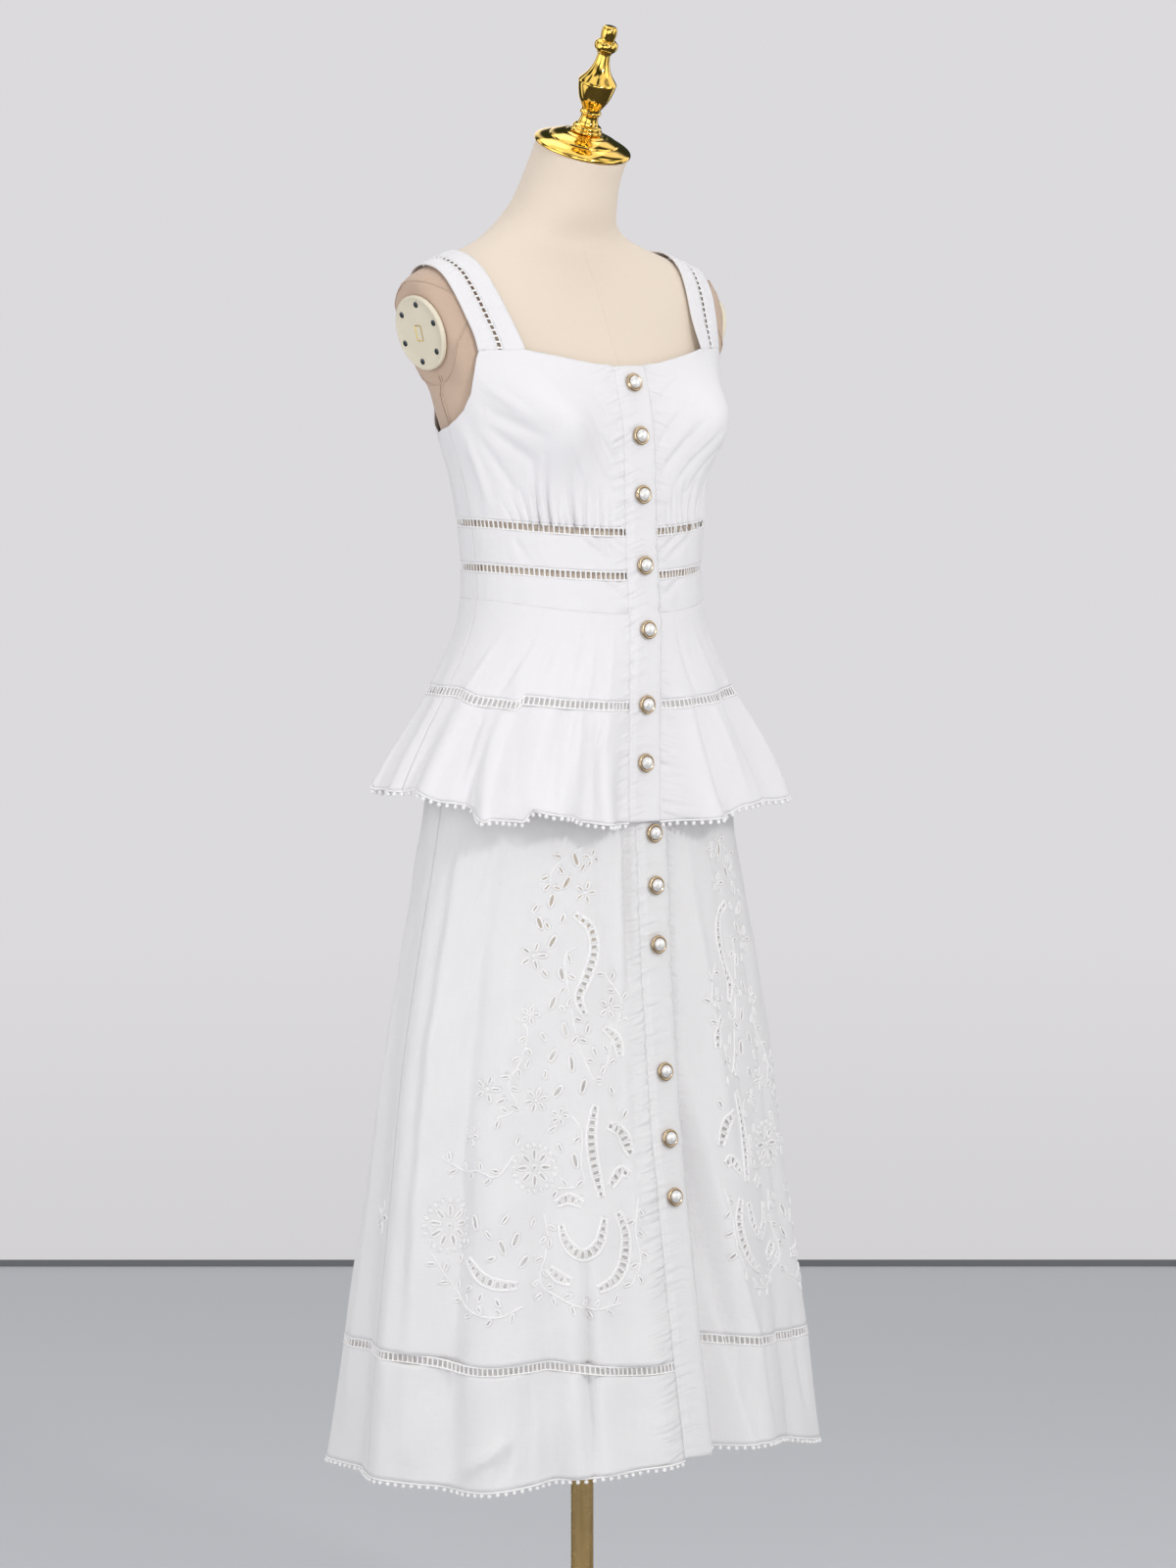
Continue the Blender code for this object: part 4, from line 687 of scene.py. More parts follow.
bodiceCotton = makeCloth("bodiceCotton")
skirtCotton = makeCloth("skirtCotton")
threadWork = makeObjectCloth("threadWork", (0.93, 0.92, 0.92), (0.85, 0.84, 0.835), 900.0, **letThrough)
formCover = makeFormCover()
plateEnamel = makeObjectCloth("plateEnamel", (0.80, 0.74, 0.60), (0.74, 0.67, 0.52), 45.0, 0.35)
pipingCloth = makeObjectCloth("pipingCloth", (0.62, 0.50, 0.40), (0.48, 0.36, 0.28), 500.0)
polishedGold = makeGold("polishedGold", (0.92, 0.60, 0.13), 0.09)
poleGold = makeGold("poleGold", (0.74, 0.52, 0.23), 0.24, 0.55)
rimGold = makeGold("rimGold", (0.64, 0.50, 0.34), 0.20)
darkSteel = makeGold("darkSteel", (0.10, 0.12, 0.14), 0.35)
slotBrass = makeGold("slotBrass", (0.72, 0.55, 0.18), 0.30)
pearlDome = makePearl()
print("materials ready")


# mesh helpers
def addObject(name, data):
    item = bpy.data.objects.new(name, data)
    scene.collection.objects.link(item)
    return item


def newPiece(name, points, faces, material, uv=None, smooth=True):
    mesh = bpy.data.meshes.new(name)
    mesh.from_pydata([tuple(map(float, point)) for point in points], [], faces)
    mesh.materials.append(material)
    if uv is not None:
        layer = mesh.uv_layers.new(name="clothUv")
        corners = np.empty(len(mesh.loops), dtype=np.int32)
        mesh.loops.foreach_get("vertex_index", corners)
        layer.data.foreach_set("uv", np.asarray(uv, np.float32)[corners].ravel())
    mesh.update()
    if smooth:
        mesh.shade_smooth()
    return addObject(name, mesh)


def finish(piece, slotName, *nodes):
    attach(piece, "root")
    if nodes:
        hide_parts(*nodes)
    return piece


def thicken(piece, thickness):
    wall = piece.modifiers.new("wall", "SOLIDIFY")
    wall.thickness = thickness
    wall.offset = 0.0
    wall.use_even_offset = False
    return piece


def flatSize(piece, width, length, held, *restsOn):
    # the cut is what the mesh would be, laid flat: its area without the wall's thickness
    mesh = piece.data
    area = sum(face.area for face in mesh.polygons)
    if area > width * length:
        width = area / length
    print("  sheet", piece.name, "%.0f x %.0f mm, area %.4f m2" % (width * 1000, length * 1000, area))


def lengthsAlong(points):
    return np.concatenate(([0.0], np.cumsum(np.linalg.norm(np.diff(points, axis=0), axis=1))))


def evenStops(points, values, pitch):
    # values at an even distance along a line of points
    travelled = lengthsAlong(points)
    count = int(travelled[-1] / pitch)
    return np.interp((np.arange(count) + 0.5) * travelled[-1] / count, travelled, values)


def clothGrid(name, place, leftEdge, rightEdge, bottom, top, columns, rows, material, thickness, arc, lift=0.0):
    across = np.linspace(0.0, 1.0, columns + 1)[None, :]
    upward = np.linspace(0.0, 1.0, rows + 1)[:, None]
    middle = np.full((1, 1), (float(bottom(0.0)) + float(top(0.0))) / 2)
    turn = lerp(leftEdge(middle), rightEdge(middle), across)
    z = lerp(bottom(turn), top(turn), upward)
    for again in range(2):
        turn = lerp(leftEdge(z), rightEdge(z), across)
        z = lerp(bottom(turn), top(turn), upward)
    points = place(turn, z) + (normalsOf(place, turn, z) * np.asarray(lift)[..., None] if np.any(lift) else 0.0)
    stride = columns + 1
    faces = []
    for row in range(rows):
        for column in range(columns):
            a = row * stride + column
            faces.append((a, a + 1, a + stride + 1, a + stride))
    uv = np.stack((turn * arc, z), -1).reshape(-1, 2)
    piece = newPiece(name, points.reshape(-1, 3), faces, material, uv)
    thicken(piece, thickness)
    runs = np.linalg.norm(np.diff(points, axis=1), axis=2).sum(axis=1)
    falls = np.linalg.norm(np.diff(points, axis=0), axis=2).sum(axis=0)
    return piece, float(runs.max()), float(falls.max())


# repeat trees
def newTree(name, inputs):
    tree = bpy.data.node_groups.new(name, "GeometryNodeTree")
    for socketName, kind in (("Geometry", "Geometry"), *inputs, ("Finish", "Material")):
        tree.interface.new_socket(name=socketName, in_out="INPUT", socket_type="NodeSocket" + kind)
    tree.interface.new_socket(name="Geometry", in_out="OUTPUT", socket_type="NodeSocketGeometry")
    return tree, tree.nodes.new("NodeGroupInput").outputs


def endTree(tree, start, shape):
    real = addNode(tree, "GeometryNodeRealizeInstances", {"Geometry": shape})
    paint = addNode(tree, "GeometryNodeSetMaterial", {"Geometry": real.outputs[0], "Material": start["Finish"]})
    addNode(tree, "NodeGroupOutput", {"Geometry": paint.outputs[0]})
    return tree


def makeRepeatTree():
    # one shape on every point, turned and sized by the point's own attributes
    tree, start = newTree("shapeOnPoints", (("Shape", "Object"),))
    shape = addNode(tree, "GeometryNodeObjectInfo", {"Object": start["Shape"]})
    spin, size = (addNode(tree, "GeometryNodeInputNamedAttribute", {"Name": attribute}, data_type="FLOAT_VECTOR")
                  for attribute in ("spin", "size"))
    put = addNode(tree, "GeometryNodeInstanceOnPoints", {
        "Points": start["Geometry"], "Instance": shape.outputs["Geometry"], "Rotation": spin.outputs["Attribute"],
        "Scale": size.outputs["Attribute"]})
    return endTree(tree, start, put.outputs["Instances"])


def makeCordTree():
    # a round cord along every run of edges
    tree, start = newTree("cordOnEdges", (("Radius", "Float"), ("Sides", "Int")))
    curve = addNode(tree, "GeometryNodeMeshToCurve", {"Mesh": start["Geometry"]})
    ring = addNode(tree, "GeometryNodeCurvePrimitiveCircle", {"Resolution": start["Sides"],
                                                              "Radius": start["Radius"]})
    sweep = addNode(tree, "GeometryNodeCurveToMesh", {"Curve": curve.outputs["Curve"],
                                                      "Profile Curve": ring.outputs["Curve"], "Fill Caps": True})
    smooth = addNode(tree, "GeometryNodeSetShadeSmooth", {"Geometry": sweep.outputs["Mesh"]})
    return endTree(tree, start, smooth.outputs["Geometry"])


repeatTree = makeRepeatTree()
cordTree = makeCordTree()


def growWork(name, source, tree, values):
    # runs a tree on a source mesh and keeps the plain result
    holder = addObject(name + "_source", source)
    modifier = holder.modifiers.new("work", "NODES")
    modifier.node_group = tree
    for socket in tree.interface.items_tree:
        if getattr(socket, "in_out", "") == "INPUT" and socket.name in values:
            modifier[socket.identifier] = values[socket.name]
    holder.update_tag()
    bpy.context.view_layer.update()
    shaped = holder.evaluated_get(bpy.context.evaluated_depsgraph_get())
    mesh = bpy.data.meshes.new_from_object(shaped)
    mesh.name = name
    bpy.data.objects.remove(holder, do_unlink=True)
    return addObject(name, mesh)


def repeatShape(name, shape, points, spins, sizes, material):
    # the shape itself goes once it has been repeated
    mesh = bpy.data.meshes.new("points")
    mesh.from_pydata([tuple(map(float, point)) for point in points], [], [])
    for attribute, values in (("spin", spins), ("size", sizes)):
        layer = mesh.attributes.new(attribute, "FLOAT_VECTOR", "POINT")
        layer.data.foreach_set("vector", np.asarray(values, np.float32).ravel())
    piece = growWork(name, mesh, repeatTree, {"Shape": shape, "Finish": material})
    bpy.data.objects.remove(shape, do_unlink=True)
    return piece


def cordWork(name, runs, radius, sides, material):
    # runs: (points, closed) pairs
    points, edges = [], []
    for run, closed in runs:
        first = len(points)
        points += [tuple(map(float, point)) for point in run]
        edges += [(first + i, first + i + 1) for i in range(len(run) - 1)]
        if closed:
            edges.append((first + len(run) - 1, first))
    mesh = bpy.data.meshes.new("runs")
    mesh.from_pydata(points, edges, [])
    return growWork(name, mesh, cordTree, {"Radius": radius, "Sides": sides, "Finish": material})


def spinTo(direction, side=None):
    # turns +Z onto a direction, and +X towards a side
    axis = Vector(direction).normalized()
    if side is None:
        return axis.to_track_quat("Z", "Y").to_euler()
    across = Vector(side)
    across = (across - axis * across.dot(axis)).normalized()
    return Matrix((across, axis.cross(across), axis)).transposed().to_euler()


def smoothCurve(points, steps):
    # a curve through points; a third value of 1 marks a sharp corner
    curve = []
    for i in range(len(points) - 1):
        a, b = points[i], points[i + 1]
        before = a if a[2] or i == 0 else points[i - 1]
        after = b if b[2] or i + 2 >= len(points) else points[i + 2]
        for step in range(steps):
            t = step / steps
            curve.append(tuple(0.5 * (2 * a[k] + (b[k] - before[k]) * t
                                      + (2 * before[k] - 5 * a[k] + 4 * b[k] - after[k]) * t * t
                                      + (3 * a[k] - before[k] - 3 * b[k] + after[k]) * t ** 3) for k in range(2)))
    curve.append(points[-1][:2])
    return curve


def turnedPiece(name, profile, sides, centre, axis, material, steps=4, sharpAngle=40.0):
    # profile rows: radius, height along the axis, 1 for a sharp corner
    curve = smoothCurve(profile, steps)
    axis = Vector(axis).normalized()
    across = axis.orthogonal().normalized()
    over = axis.cross(across)
    points, faces = [], []
    for radius, height in curve:
        for i in range(sides):
            angle = 2 * math.pi * i / sides
            radial = across * math.cos(angle) + over * math.sin(angle)
            points.append(Vector(centre) + axis * height + radial * max(radius, 0.00005))
    for row in range(len(curve) - 1):
        for i in range(sides):
            a, b = row * sides + i, row * sides + (i + 1) % sides
            faces.append((a, b, b + sides, a + sides))
    faces.append(tuple(range(sides))[::-1])
    first = (len(curve) - 1) * sides
    faces.append(tuple(range(first, first + sides)))
    piece = newPiece(name, points, faces, material)
    piece.data.set_sharp_from_angle(angle=math.radians(sharpAngle))
    return piece


# camera, light and stage
view = {"turn": -37.0, "distance": 6.5, "height": 1.42, "aim": (0.0046, -0.0034, 0.947), "lens": 153.6}


def setCamera():
    angle = math.radians(view["turn"])
    data = bpy.data.cameras.new("camera")
    camera = addObject("camera", data)
    data.lens = view["lens"]
    data.sensor_width = 36.0
    data.clip_end = 60.0
    camera.location = (math.sin(angle) * view["distance"], -math.cos(angle) * view["distance"], view["height"])
    camera.rotation_euler = (Vector(view["aim"]) - camera.location).to_track_quat("-Z", "Y").to_euler()
    scene.camera = camera


lampSet = {
    "key": {"place": (-0.17, -2.05, 1.88), "aim": (0, 0, 1.0), "size": 0.18, "power": 12.0,
            "colour": (1.0, 0.99, 0.98)},
    "fill": {"place": (1.6, -1.9, 1.9), "aim": (0, 0, 1.1), "size": 1.4, "power": 3.6,
             "colour": (0.98, 0.98, 1.0)},
    "front": {"place": (-1.5, -1.9, 1.2), "aim": (0, 0, 0.8), "size": 1.4, "power": 9.8,
              "colour": (0.99, 0.99, 1.0)},
    "side": {"place": (-2.4, 0.2, 1.5), "aim": (0, 0, 0.8), "size": 1.4, "power": 11.0,
             "colour": (0.98, 0.98, 1.0)},
    "top": {"place": (0.2, 0.3, 3.2), "aim": (0, 0, 0.9), "size": 1.6, "power": 10.0,
            "colour": (1.0, 1.0, 1.0)},
}
# light that the thin skirt lets in
innerLamps = ((0.055, 0.055, 0.68), (-0.060, 0.060, 0.52), (0.060, 0.080, 0.42))


def setLamps():
    for name, lamp in lampSet.items():
        data = bpy.data.lights.new(name, "AREA")
        data.energy = lamp["power"]
        data.size = lamp["size"]
        data.color = lamp["colour"]
        light = addObject(name, data)
        light.location = lamp["place"]
        light.rotation_euler = (Vector(lamp["aim"]) - light.location).to_track_quat("-Z", "Y").to_euler()
    for number, place in enumerate(innerLamps):
        data = bpy.data.lights.new("inner_" + str(number), "POINT")
        data.energy = 0.11
        data.shadow_soft_size = 0.02
        light = addObject("inner_" + str(number), data)
        light.location = place
        light.visible_camera = False
        light.visible_glossy = False


stageLook = {
    "wall": (0.712, 0.700, 0.722), "glow": (0.74, 0.74, 0.75), "glowPower": 0.84, "floor": (0.625, 0.635, 0.665),
    "reach": 3.25, "sides": 12, "skirting": 0.010,
}


def setStage():
    world = bpy.data.worlds.new("room")
    scene.world = world
    world.use_nodes = True
    tree = world.node_tree
    tree.nodes.clear()
    place = addNode(tree, "ShaderNodeTexCoord").outputs["Generated"]
    rays = addNode(tree, "ShaderNodeLightPath").outputs
    lower = mapRange(tree, axesOf(tree, place)[2], -0.150, -0.095)
    dim = tuple(value * 0.895 for value in stageLook["wall"])
    wall = addNode(tree, "ShaderNodeBackground", {"Color": mixColour(tree, lower, dim, stageLook["wall"])})
    glow = addNode(tree, "ShaderNodeBackground", {"Color": (*stageLook["glow"], 1.0),
                                                  "Strength": stageLook["glowPower"]})
    # polished metal mirrors a darker room with bright panels
    bands = noiseNode(tree, stretched(tree, place, (1.6, 1.6, 0.7)), 2.1, 0.0)
    ramp = addNode(tree, "ShaderNodeValToRGB", {0: bands})
    ramp.color_ramp.interpolation = "EASE"
    stops = ((0.40, (0.03, 0.04, 0.03, 1.0)), (0.62, (1.20, 1.20, 1.20, 1.0)))
    for element, (position, colour) in zip(ramp.color_ramp.elements, stops):
        element.position = position
        element.color = colour
    mirrored = addNode(tree, "ShaderNodeBackground", {"Color": ramp.outputs[0]})
    glossy = addNode(tree, "ShaderNodeMixShader", {0: rays["Is Glossy Ray"], 1: glow.outputs[0],
                                                   2: mirrored.outputs[0]})
    seen = addNode(tree, "ShaderNodeMixShader", {0: rays["Is Camera Ray"], 1: glossy.outputs[0],
                                                 2: wall.outputs[0]})
    addNode(tree, "ShaderNodeOutputWorld", {0: seen.outputs[0]})

    floorPaint, tree, shader = newMaterial("floorPaint", Roughness=0.7)
    cloud = noiseNode(tree, objectPlace(tree), 1.2, 3.0)
    paint = mixColour(tree, cloud, stageLook["floor"], tuple(value * 0.97 for value in stageLook["floor"]))
    rays = addNode(tree, "ShaderNodeLightPath").outputs
    # painted reflection: seen in polished metal the floor shows near black, giving the gold and the pearls dark
    # reflections
    fill(tree, shader, {"Base Color": mixColour(tree, rays["Is Glossy Ray"], paint, (0.05, 0.05, 0.045))})
    skirtingPaint = newMaterial("skirtingPaint", Base_Color=(0.20, 0.21, 0.22, 1.0))[0]
    sides = stageLook["sides"]
    reach = stageLook["reach"] / math.cos(math.pi / sides)
    ring = []
    for i in range(sides):
        angle = math.radians(view["turn"]) + 2 * math.pi * (i + 0.5) / sides
        ring.append((math.sin(angle) * reach, -math.cos(angle) * reach, 0.0))
    newPiece("floor", ring, [tuple(range(sides))], floorPaint, smooth=False)
    upper = [(x, y, stageLook["skirting"]) for x, y, z in ring]
    strips = [(i, i + sides, (i + 1) % sides + sides, (i + 1) % sides) for i in range(sides)]
    newPiece("skirting", ring + upper, strips, skirtingPaint, smooth=False)


setCamera()
setLamps()
setStage()
scene.view_settings.view_transform = "Standard"
print("camera, light and stage ready")


# dress form
def makeForm():
    sides = 112
    heights = []
    for low, high in zip(formSections, formSections[1:]):
        count = max(2, int(round((high[0] - low[0]) / 0.006)))
        heights += list(np.linspace(low[0], high[0], count, endpoint=False))
    heights.append(formSections[-1][0])
    turn = (360.0 * np.arange(sides) / sides - 180.0)[None, :]
    points = formPlace(turn, np.array(heights)[:, None]).reshape(-1, 3)
    faces = [tuple(range(sides))[::-1]]
    for row in range(len(heights) - 1):
        for i in range(sides):
            a, b = row * sides + i, row * sides + (i + 1) % sides
            faces.append((a, b, b + sides, a + sides))
    first = (len(heights) - 1) * sides
    faces.append(tuple(range(first, first + sides)))
    piece = newPiece("form_body", points, faces, formCover)
    piece.data.set_sharp_from_angle(angle=math.radians(50))
    finish(piece, "linen", "form_torso")


def formLine(turns, heights, lift=0.0004):
    return raised(formPlace, np.asarray(turns, float), np.asarray(heights, float), lift)


def makeFormSeams():
    # seams of the form's cover: down the sides under the arms, over the shoulders and round the arm ends
    runs = []
    for side in (-1, 1):
        heights = np.linspace(0.815, 1.345, 90)
        for past in (-1.2, 1.2):
            runs.append((formLine(np.full(90, side * (90.0 + past)), heights), False))
        ring = np.radians(np.linspace(0, 360, 73)[:-1])
        centre = armPlates["centre"]
        spots = []
        for angle in ring:
            height = centre[2] + 0.050 * math.sin(angle)
            y = centre[1] + 0.047 * math.cos(angle)
            spots.append((y, height))
        loop = []
        for y, height in spots:
            turnsTry = side * np.linspace(35.0, 150.0, 400)
            found = formPlace(turnsTry, np.full(400, min(height, 1.436)))
            best = int(np.argmin(np.abs(found[:, 1] - y)))
            loop.append(raised(formPlace, turnsTry[best], min(height, 1.436), 0.0003))
        runs.append((loop, True))
    piece = cordWork("form_seams", runs, 0.0006, 6, pipingCloth)
    finish(piece, "linen")
    heights = np.linspace(1.30, 1.4735, 50)
    chest = cordWork("chest_seam", [(formLine(np.zeros(50), heights, -0.0001), False)], 0.0004, 6, formCover)
    finish(chest, "linen")


capAxis = (0.0, -math.sin(math.radians(neckTilt)), math.cos(math.radians(neckTilt)))
capCentre = (0.0, 0.0, 1.564)
goldProfiles = {
    "cap": ((0.0455, 0.0, 1), (0.0474, 0.0008, 0), (0.0477, 0.0022, 0), (0.0468, 0.0040, 0), (0.0430, 0.0062, 0),
            (0.0375, 0.0082, 0), (0.0345, 0.0090, 1), (0.0338, 0.0104, 1), (0.0300, 0.0122, 0), (0.0240, 0.0143, 0),
            (0.0205, 0.0150, 1), (0.0178, 0.0160, 1)),
    "finial": ((0.0130, 0.0163, 1), (0.0150, 0.0172, 0), (0.0154, 0.0186, 0), (0.0150, 0.0198, 1),
               (0.0138, 0.0206, 1), (0.0140, 0.0222, 0), (0.0130, 0.0238, 0), (0.0102, 0.0250, 1),
               (0.0098, 0.0272, 1), (0.0092, 0.0282, 0), (0.0086, 0.0320, 0), (0.0090, 0.0348, 0),
               (0.0104, 0.0358, 1), (0.0106, 0.0372, 0), (0.0094, 0.0384, 1), (0.0096, 0.0410, 0),
               (0.0118, 0.0448, 0), (0.0146, 0.0500, 0), (0.0166, 0.0560, 0), (0.0180, 0.0620, 0),
               (0.0186, 0.0660, 1), (0.0189, 0.0672, 1), (0.0184, 0.0686, 0), (0.0164, 0.0712, 0),
               (0.0128, 0.0755, 0), (0.0096, 0.0810, 0), (0.0074, 0.0875, 0), (0.0064, 0.0940, 0),
               (0.0062, 0.0962, 1), (0.0074, 0.0972, 0), (0.0076, 0.0984, 1), (0.0092, 0.0996, 0),
               (0.0110, 0.1020, 0), (0.0115, 0.1048, 0), (0.0110, 0.1074, 0), (0.0090, 0.1096, 0),
               (0.0070, 0.1106, 1), (0.0070, 0.1122, 1), (0.0075, 0.1150, 0), (0.0076, 0.1190, 0),
               (0.0070, 0.1222, 0), (0.0050, 0.1242, 0), (0.0004, 0.1246, 0)),
    "pole": ((0.0110, 0.0343, 1), (0.0110, 0.7785, 1), (0.0150, 0.7850, 0), (0.0250, 0.7880, 0),
             (0.0352, 0.7896, 1), (0.0360, 0.7905, 1), (0.0360, 0.7990, 1), (0.0355, 0.7996, 1)),
    "base": ((0.1680, 0.0, 1), (0.1700, 0.0015, 0), (0.1700, 0.0088, 0), (0.1690, 0.0108, 0), (0.1660, 0.0120, 0),
             (0.1600, 0.0122, 0), (0.0420, 0.0128, 0), (0.0340, 0.0140, 0), (0.0306, 0.0168, 0),
             (0.0298, 0.0200, 0), (0.0260, 0.0262, 0), (0.0200, 0.0306, 0), (0.0182, 0.0325, 1),
             (0.0175, 0.0340, 1)),
}


def makeGoldWork():
    finish(turnedPiece("gold_cap", goldProfiles["cap"], 96, capCentre, capAxis, polishedGold), "gold", "neck_cap")
    finish(turnedPiece("gold_finial", goldProfiles["finial"], 64, capCentre, capAxis, polishedGold), "gold",
           "finial")
    finish(turnedPiece("gold_pole", goldProfiles["pole"], 64, (0, 0, 0), (0, 0, 1), poleGold, 3), "gold", "pole")
    finish(turnedPiece("gold_base", goldProfiles["base"], 128, (0, 0, 0), (0, 0, 1), poleGold, 3), "gold",
           "stand_base")


def makeArmPlates():
    drop = math.radians(armPlates["drop"])
    thick = armPlates["thick"] / 2
    radius = armPlates["radius"]
    profile = ((radius - 0.0010, -thick, 1), (radius, -thick + 0.0008, 0), (radius, thick - 0.0012, 0),
               (radius - 0.0008, thick - 0.0002, 0), (radius - 0.0022, thick, 0),
               (radius - 0.0034, thick - 0.0006, 1), (0.0004, thick - 0.0006, 0))
    for side, label in ((-1, "right"), (1, "left")):
        centre = Vector((side * armPlates["centre"][0], armPlates["centre"][1], armPlates["centre"][2]))
        normal = Vector((side * math.cos(drop), 0.0, -math.sin(drop)))
        plate = turnedPiece("plate_" + label, profile, 72, centre, normal, plateEnamel, 3)
        finish(plate, "linen", "arm_plate_" + label)
        forward = Vector((0.0, -1.0, 0.0))
        upward = normal.cross(forward) if side < 0 else forward.cross(normal)
        screwHead = turnedPiece("screwShape", ((1.0, -0.30, 1), (1.0, 0.10, 0), (0.86, 0.30, 0), (0.30, 0.34, 1),
                                               (0.26, 0.10, 1), (0.02, 0.08, 0)), 16, (0, 0, 0), (0, 0, 1),
                                darkSteel, 2)
        spots, spins, sizes = [], [], []
        for i in range(armPlates["screws"]):
            angle = 2 * math.pi * (i + 0.35) / armPlates["screws"]
            spot = centre + normal * (thick - 0.0006) + (forward * math.cos(angle) + upward * math.sin(angle)) \
                * armPlates["screwRing"]
            spots.append(spot)
            spins.append(spinTo(normal))
            sizes.append([armPlates["screwRadius"]] * 3)
        screws = repeatShape("screws_" + label, screwHead, spots, spins, sizes, darkSteel)
        finish(screws, "gold")
        halfWide, halfTall = armPlates["slot"]
        rim = []
        for across, up in ((-1, -1), (1, -1), (1, 1), (-1, 1)):
            rim.append(centre + forward * across * halfWide * 0.62 + upward * up * halfTall * 0.62
                       + normal * (thick + 0.0002))
        inner = [spot + (centre + normal * thick - spot) * 0.22 - normal * 0.0016 for spot in rim]
        deep = [spot - normal * 0.0030 for spot in rim]
        faces = [(0, 1, 5, 4), (1, 2, 6, 5), (2, 3, 7, 6), (3, 0, 4, 7), (4, 5, 6, 7),
                 (8, 9, 1, 0), (9, 10, 2, 1), (10, 11, 3, 2), (11, 8, 0, 3), (11, 10, 9, 8)]
        if side > 0:
            faces = [face[::-1] for face in faces]
        slot = newPiece("slot_" + label, rim + inner + deep, faces, slotBrass, smooth=False)
        finish(slot, "gold")


makeForm()
makeFormSeams()
makeGoldWork()
makeArmPlates()
print("dress form ready")

cloth = {"bodice": 0.0009, "skirt": 0.0008, "placket": 0.0011, "tape": 0.0012}
ladderHalf = seams["ladderHeight"] / 2
gap = 0.0002


def sideTurnGap(place, z):
    step = place(90.25, z) - place(89.75, z)
    return 0.00015 * 0.5 / float(np.linalg.norm(step))


def threeWays(prefix, nodePrefix, place, zSide, bottom, top, cell, material, thickness, arc, held, *restsOn):
    # right front, left front and back of a band, parted at the side seams
    edge = 90.0 - sideTurnGap(place, zSide)
    ways = (("front_right", fixedEdge(-edge), xEdge(place, -seams["placketHalf"] + 0.0006)),
            ("front_left", xEdge(place, -seams["underlap"]), fixedEdge(edge)),
            ("back", fixedEdge(180.0 - edge), fixedEdge(180.0 + edge)))
    for label, left, right in ways:
        span = 180.0 if label == "back" else 90.0
        columns = int(span * arc / cell[0])
        height = abs(float(top(0.0)) - float(bottom(0.0)))
        rows = max(2, int(height / cell[1]))
        piece, width, length = clothGrid(prefix + "_" + label, place, left, right, bottom, top, columns, rows,
                                         material, thickness, arc)
        finish(piece, "cotton", nodePrefix + "_" + label)
        flatSize(piece, width, length, held, *restsOn)


def bodiceTopHeight(turn):
    table = np.array(bodiceTop)
    return np.interp(np.abs(wrapTurn(turn)), table[:, 0], table[:, 1])


def makeBodice():
    threeWays("bodice", "bodice", bodicePlace, 1.25,
              lambda t: seamHeight("bustLadder", t) + ladderHalf + gap, bodiceTopHeight,
              (0.0016, 0.0022), bodiceCotton, cloth["bodice"], arcs["bodice"], "gathered", "form_body")
    threeWays("band_upper", "waistband_upper", bodicePlace, 1.18,
              lambda t: seamHeight("waistLadder", t) + ladderHalf + gap,
              lambda t: seamHeight("bustLadder", t) - ladderHalf - gap,
              (0.0024, 0.0024), bodiceCotton, cloth["bodice"], arcs["bodice"], "hung", "form_body")
    threeWays("band_lower", "waistband_lower", bodicePlace, 1.145,
              lambda t: seamHeight("waist", t) - 0.0006, lambda t: seamHeight("waistLadder", t) - ladderHalf - gap,
              (0.0024, 0.0024), bodiceCotton, cloth["bodice"], arcs["bodice"], "hung", "form_body")


def peplumLadderHeight(turn):
    return seamHeight("peplumLadder", turn) + foldStep(turn)


# the ruffle's edge dips and lifts as it swings: from, to, lift, softness at both ends in degrees
hemSwings = (
    (-57.0, -41.0, -0.0085, 6.0, 1.2), (-40.0, -26.5, 0.0040, 1.2, 1.6), (-86.0, -72.0, 0.0040, 4.0, 4.0),
    (26.0, 38.0, 0.0050, 2.0, 2.0), (44.0, 56.0, -0.0040, 4.0, 2.0), (58.0, 70.0, 0.0060, 2.0, 4.0),
    (100.0, 112.0, 0.0060, 3.0, 3.0), (130.0, 141.0, -0.0050, 5.0, 2.0), (146.0, 158.0, 0.0060, 2.0, 3.0),
    (192.0, 206.0, 0.0060, 3.0, 3.0), (222.0, 236.0, -0.0050, 5.0, 2.0), (240.0, 250.0, 0.0050, 2.0, 3.0),
)


def peplumHemHeight(turn):
    height = seamHeight("peplumHem", turn) + 0.5 * foldStep(turn)
    for start, end, lift, startSoft, endSoft in hemSwings:
        past = wrapTurn(turn - start)
        span = end - start
        height = height + lift * smoothStep(past, -startSoft, startSoft) * (
            1.0 - smoothStep(past, span - endSoft, span + endSoft))
    return height


def makePeplum():
    threeWays("peplum_upper", "peplum_upper", peplumPlace, 1.06,
              lambda t: peplumLadderHeight(t) + ladderHalf + gap, lambda t: seamHeight("waist", t) + 0.0008,
              (0.0026, 0.0030), bodiceCotton, cloth["bodice"], arcs["peplum"], "hung", "band_lower_back")
    threeWays("ruffle", "peplum_ruffle", peplumPlace, 0.98, peplumHemHeight,
              lambda t: peplumLadderHeight(t) - ladderHalf - gap,
              (0.0026, 0.0030), bodiceCotton, cloth["bodice"], arcs["peplum"], "gathered", "peplum_upper_back")


makeBodice()
makePeplum()
print("bodice and peplum ready")


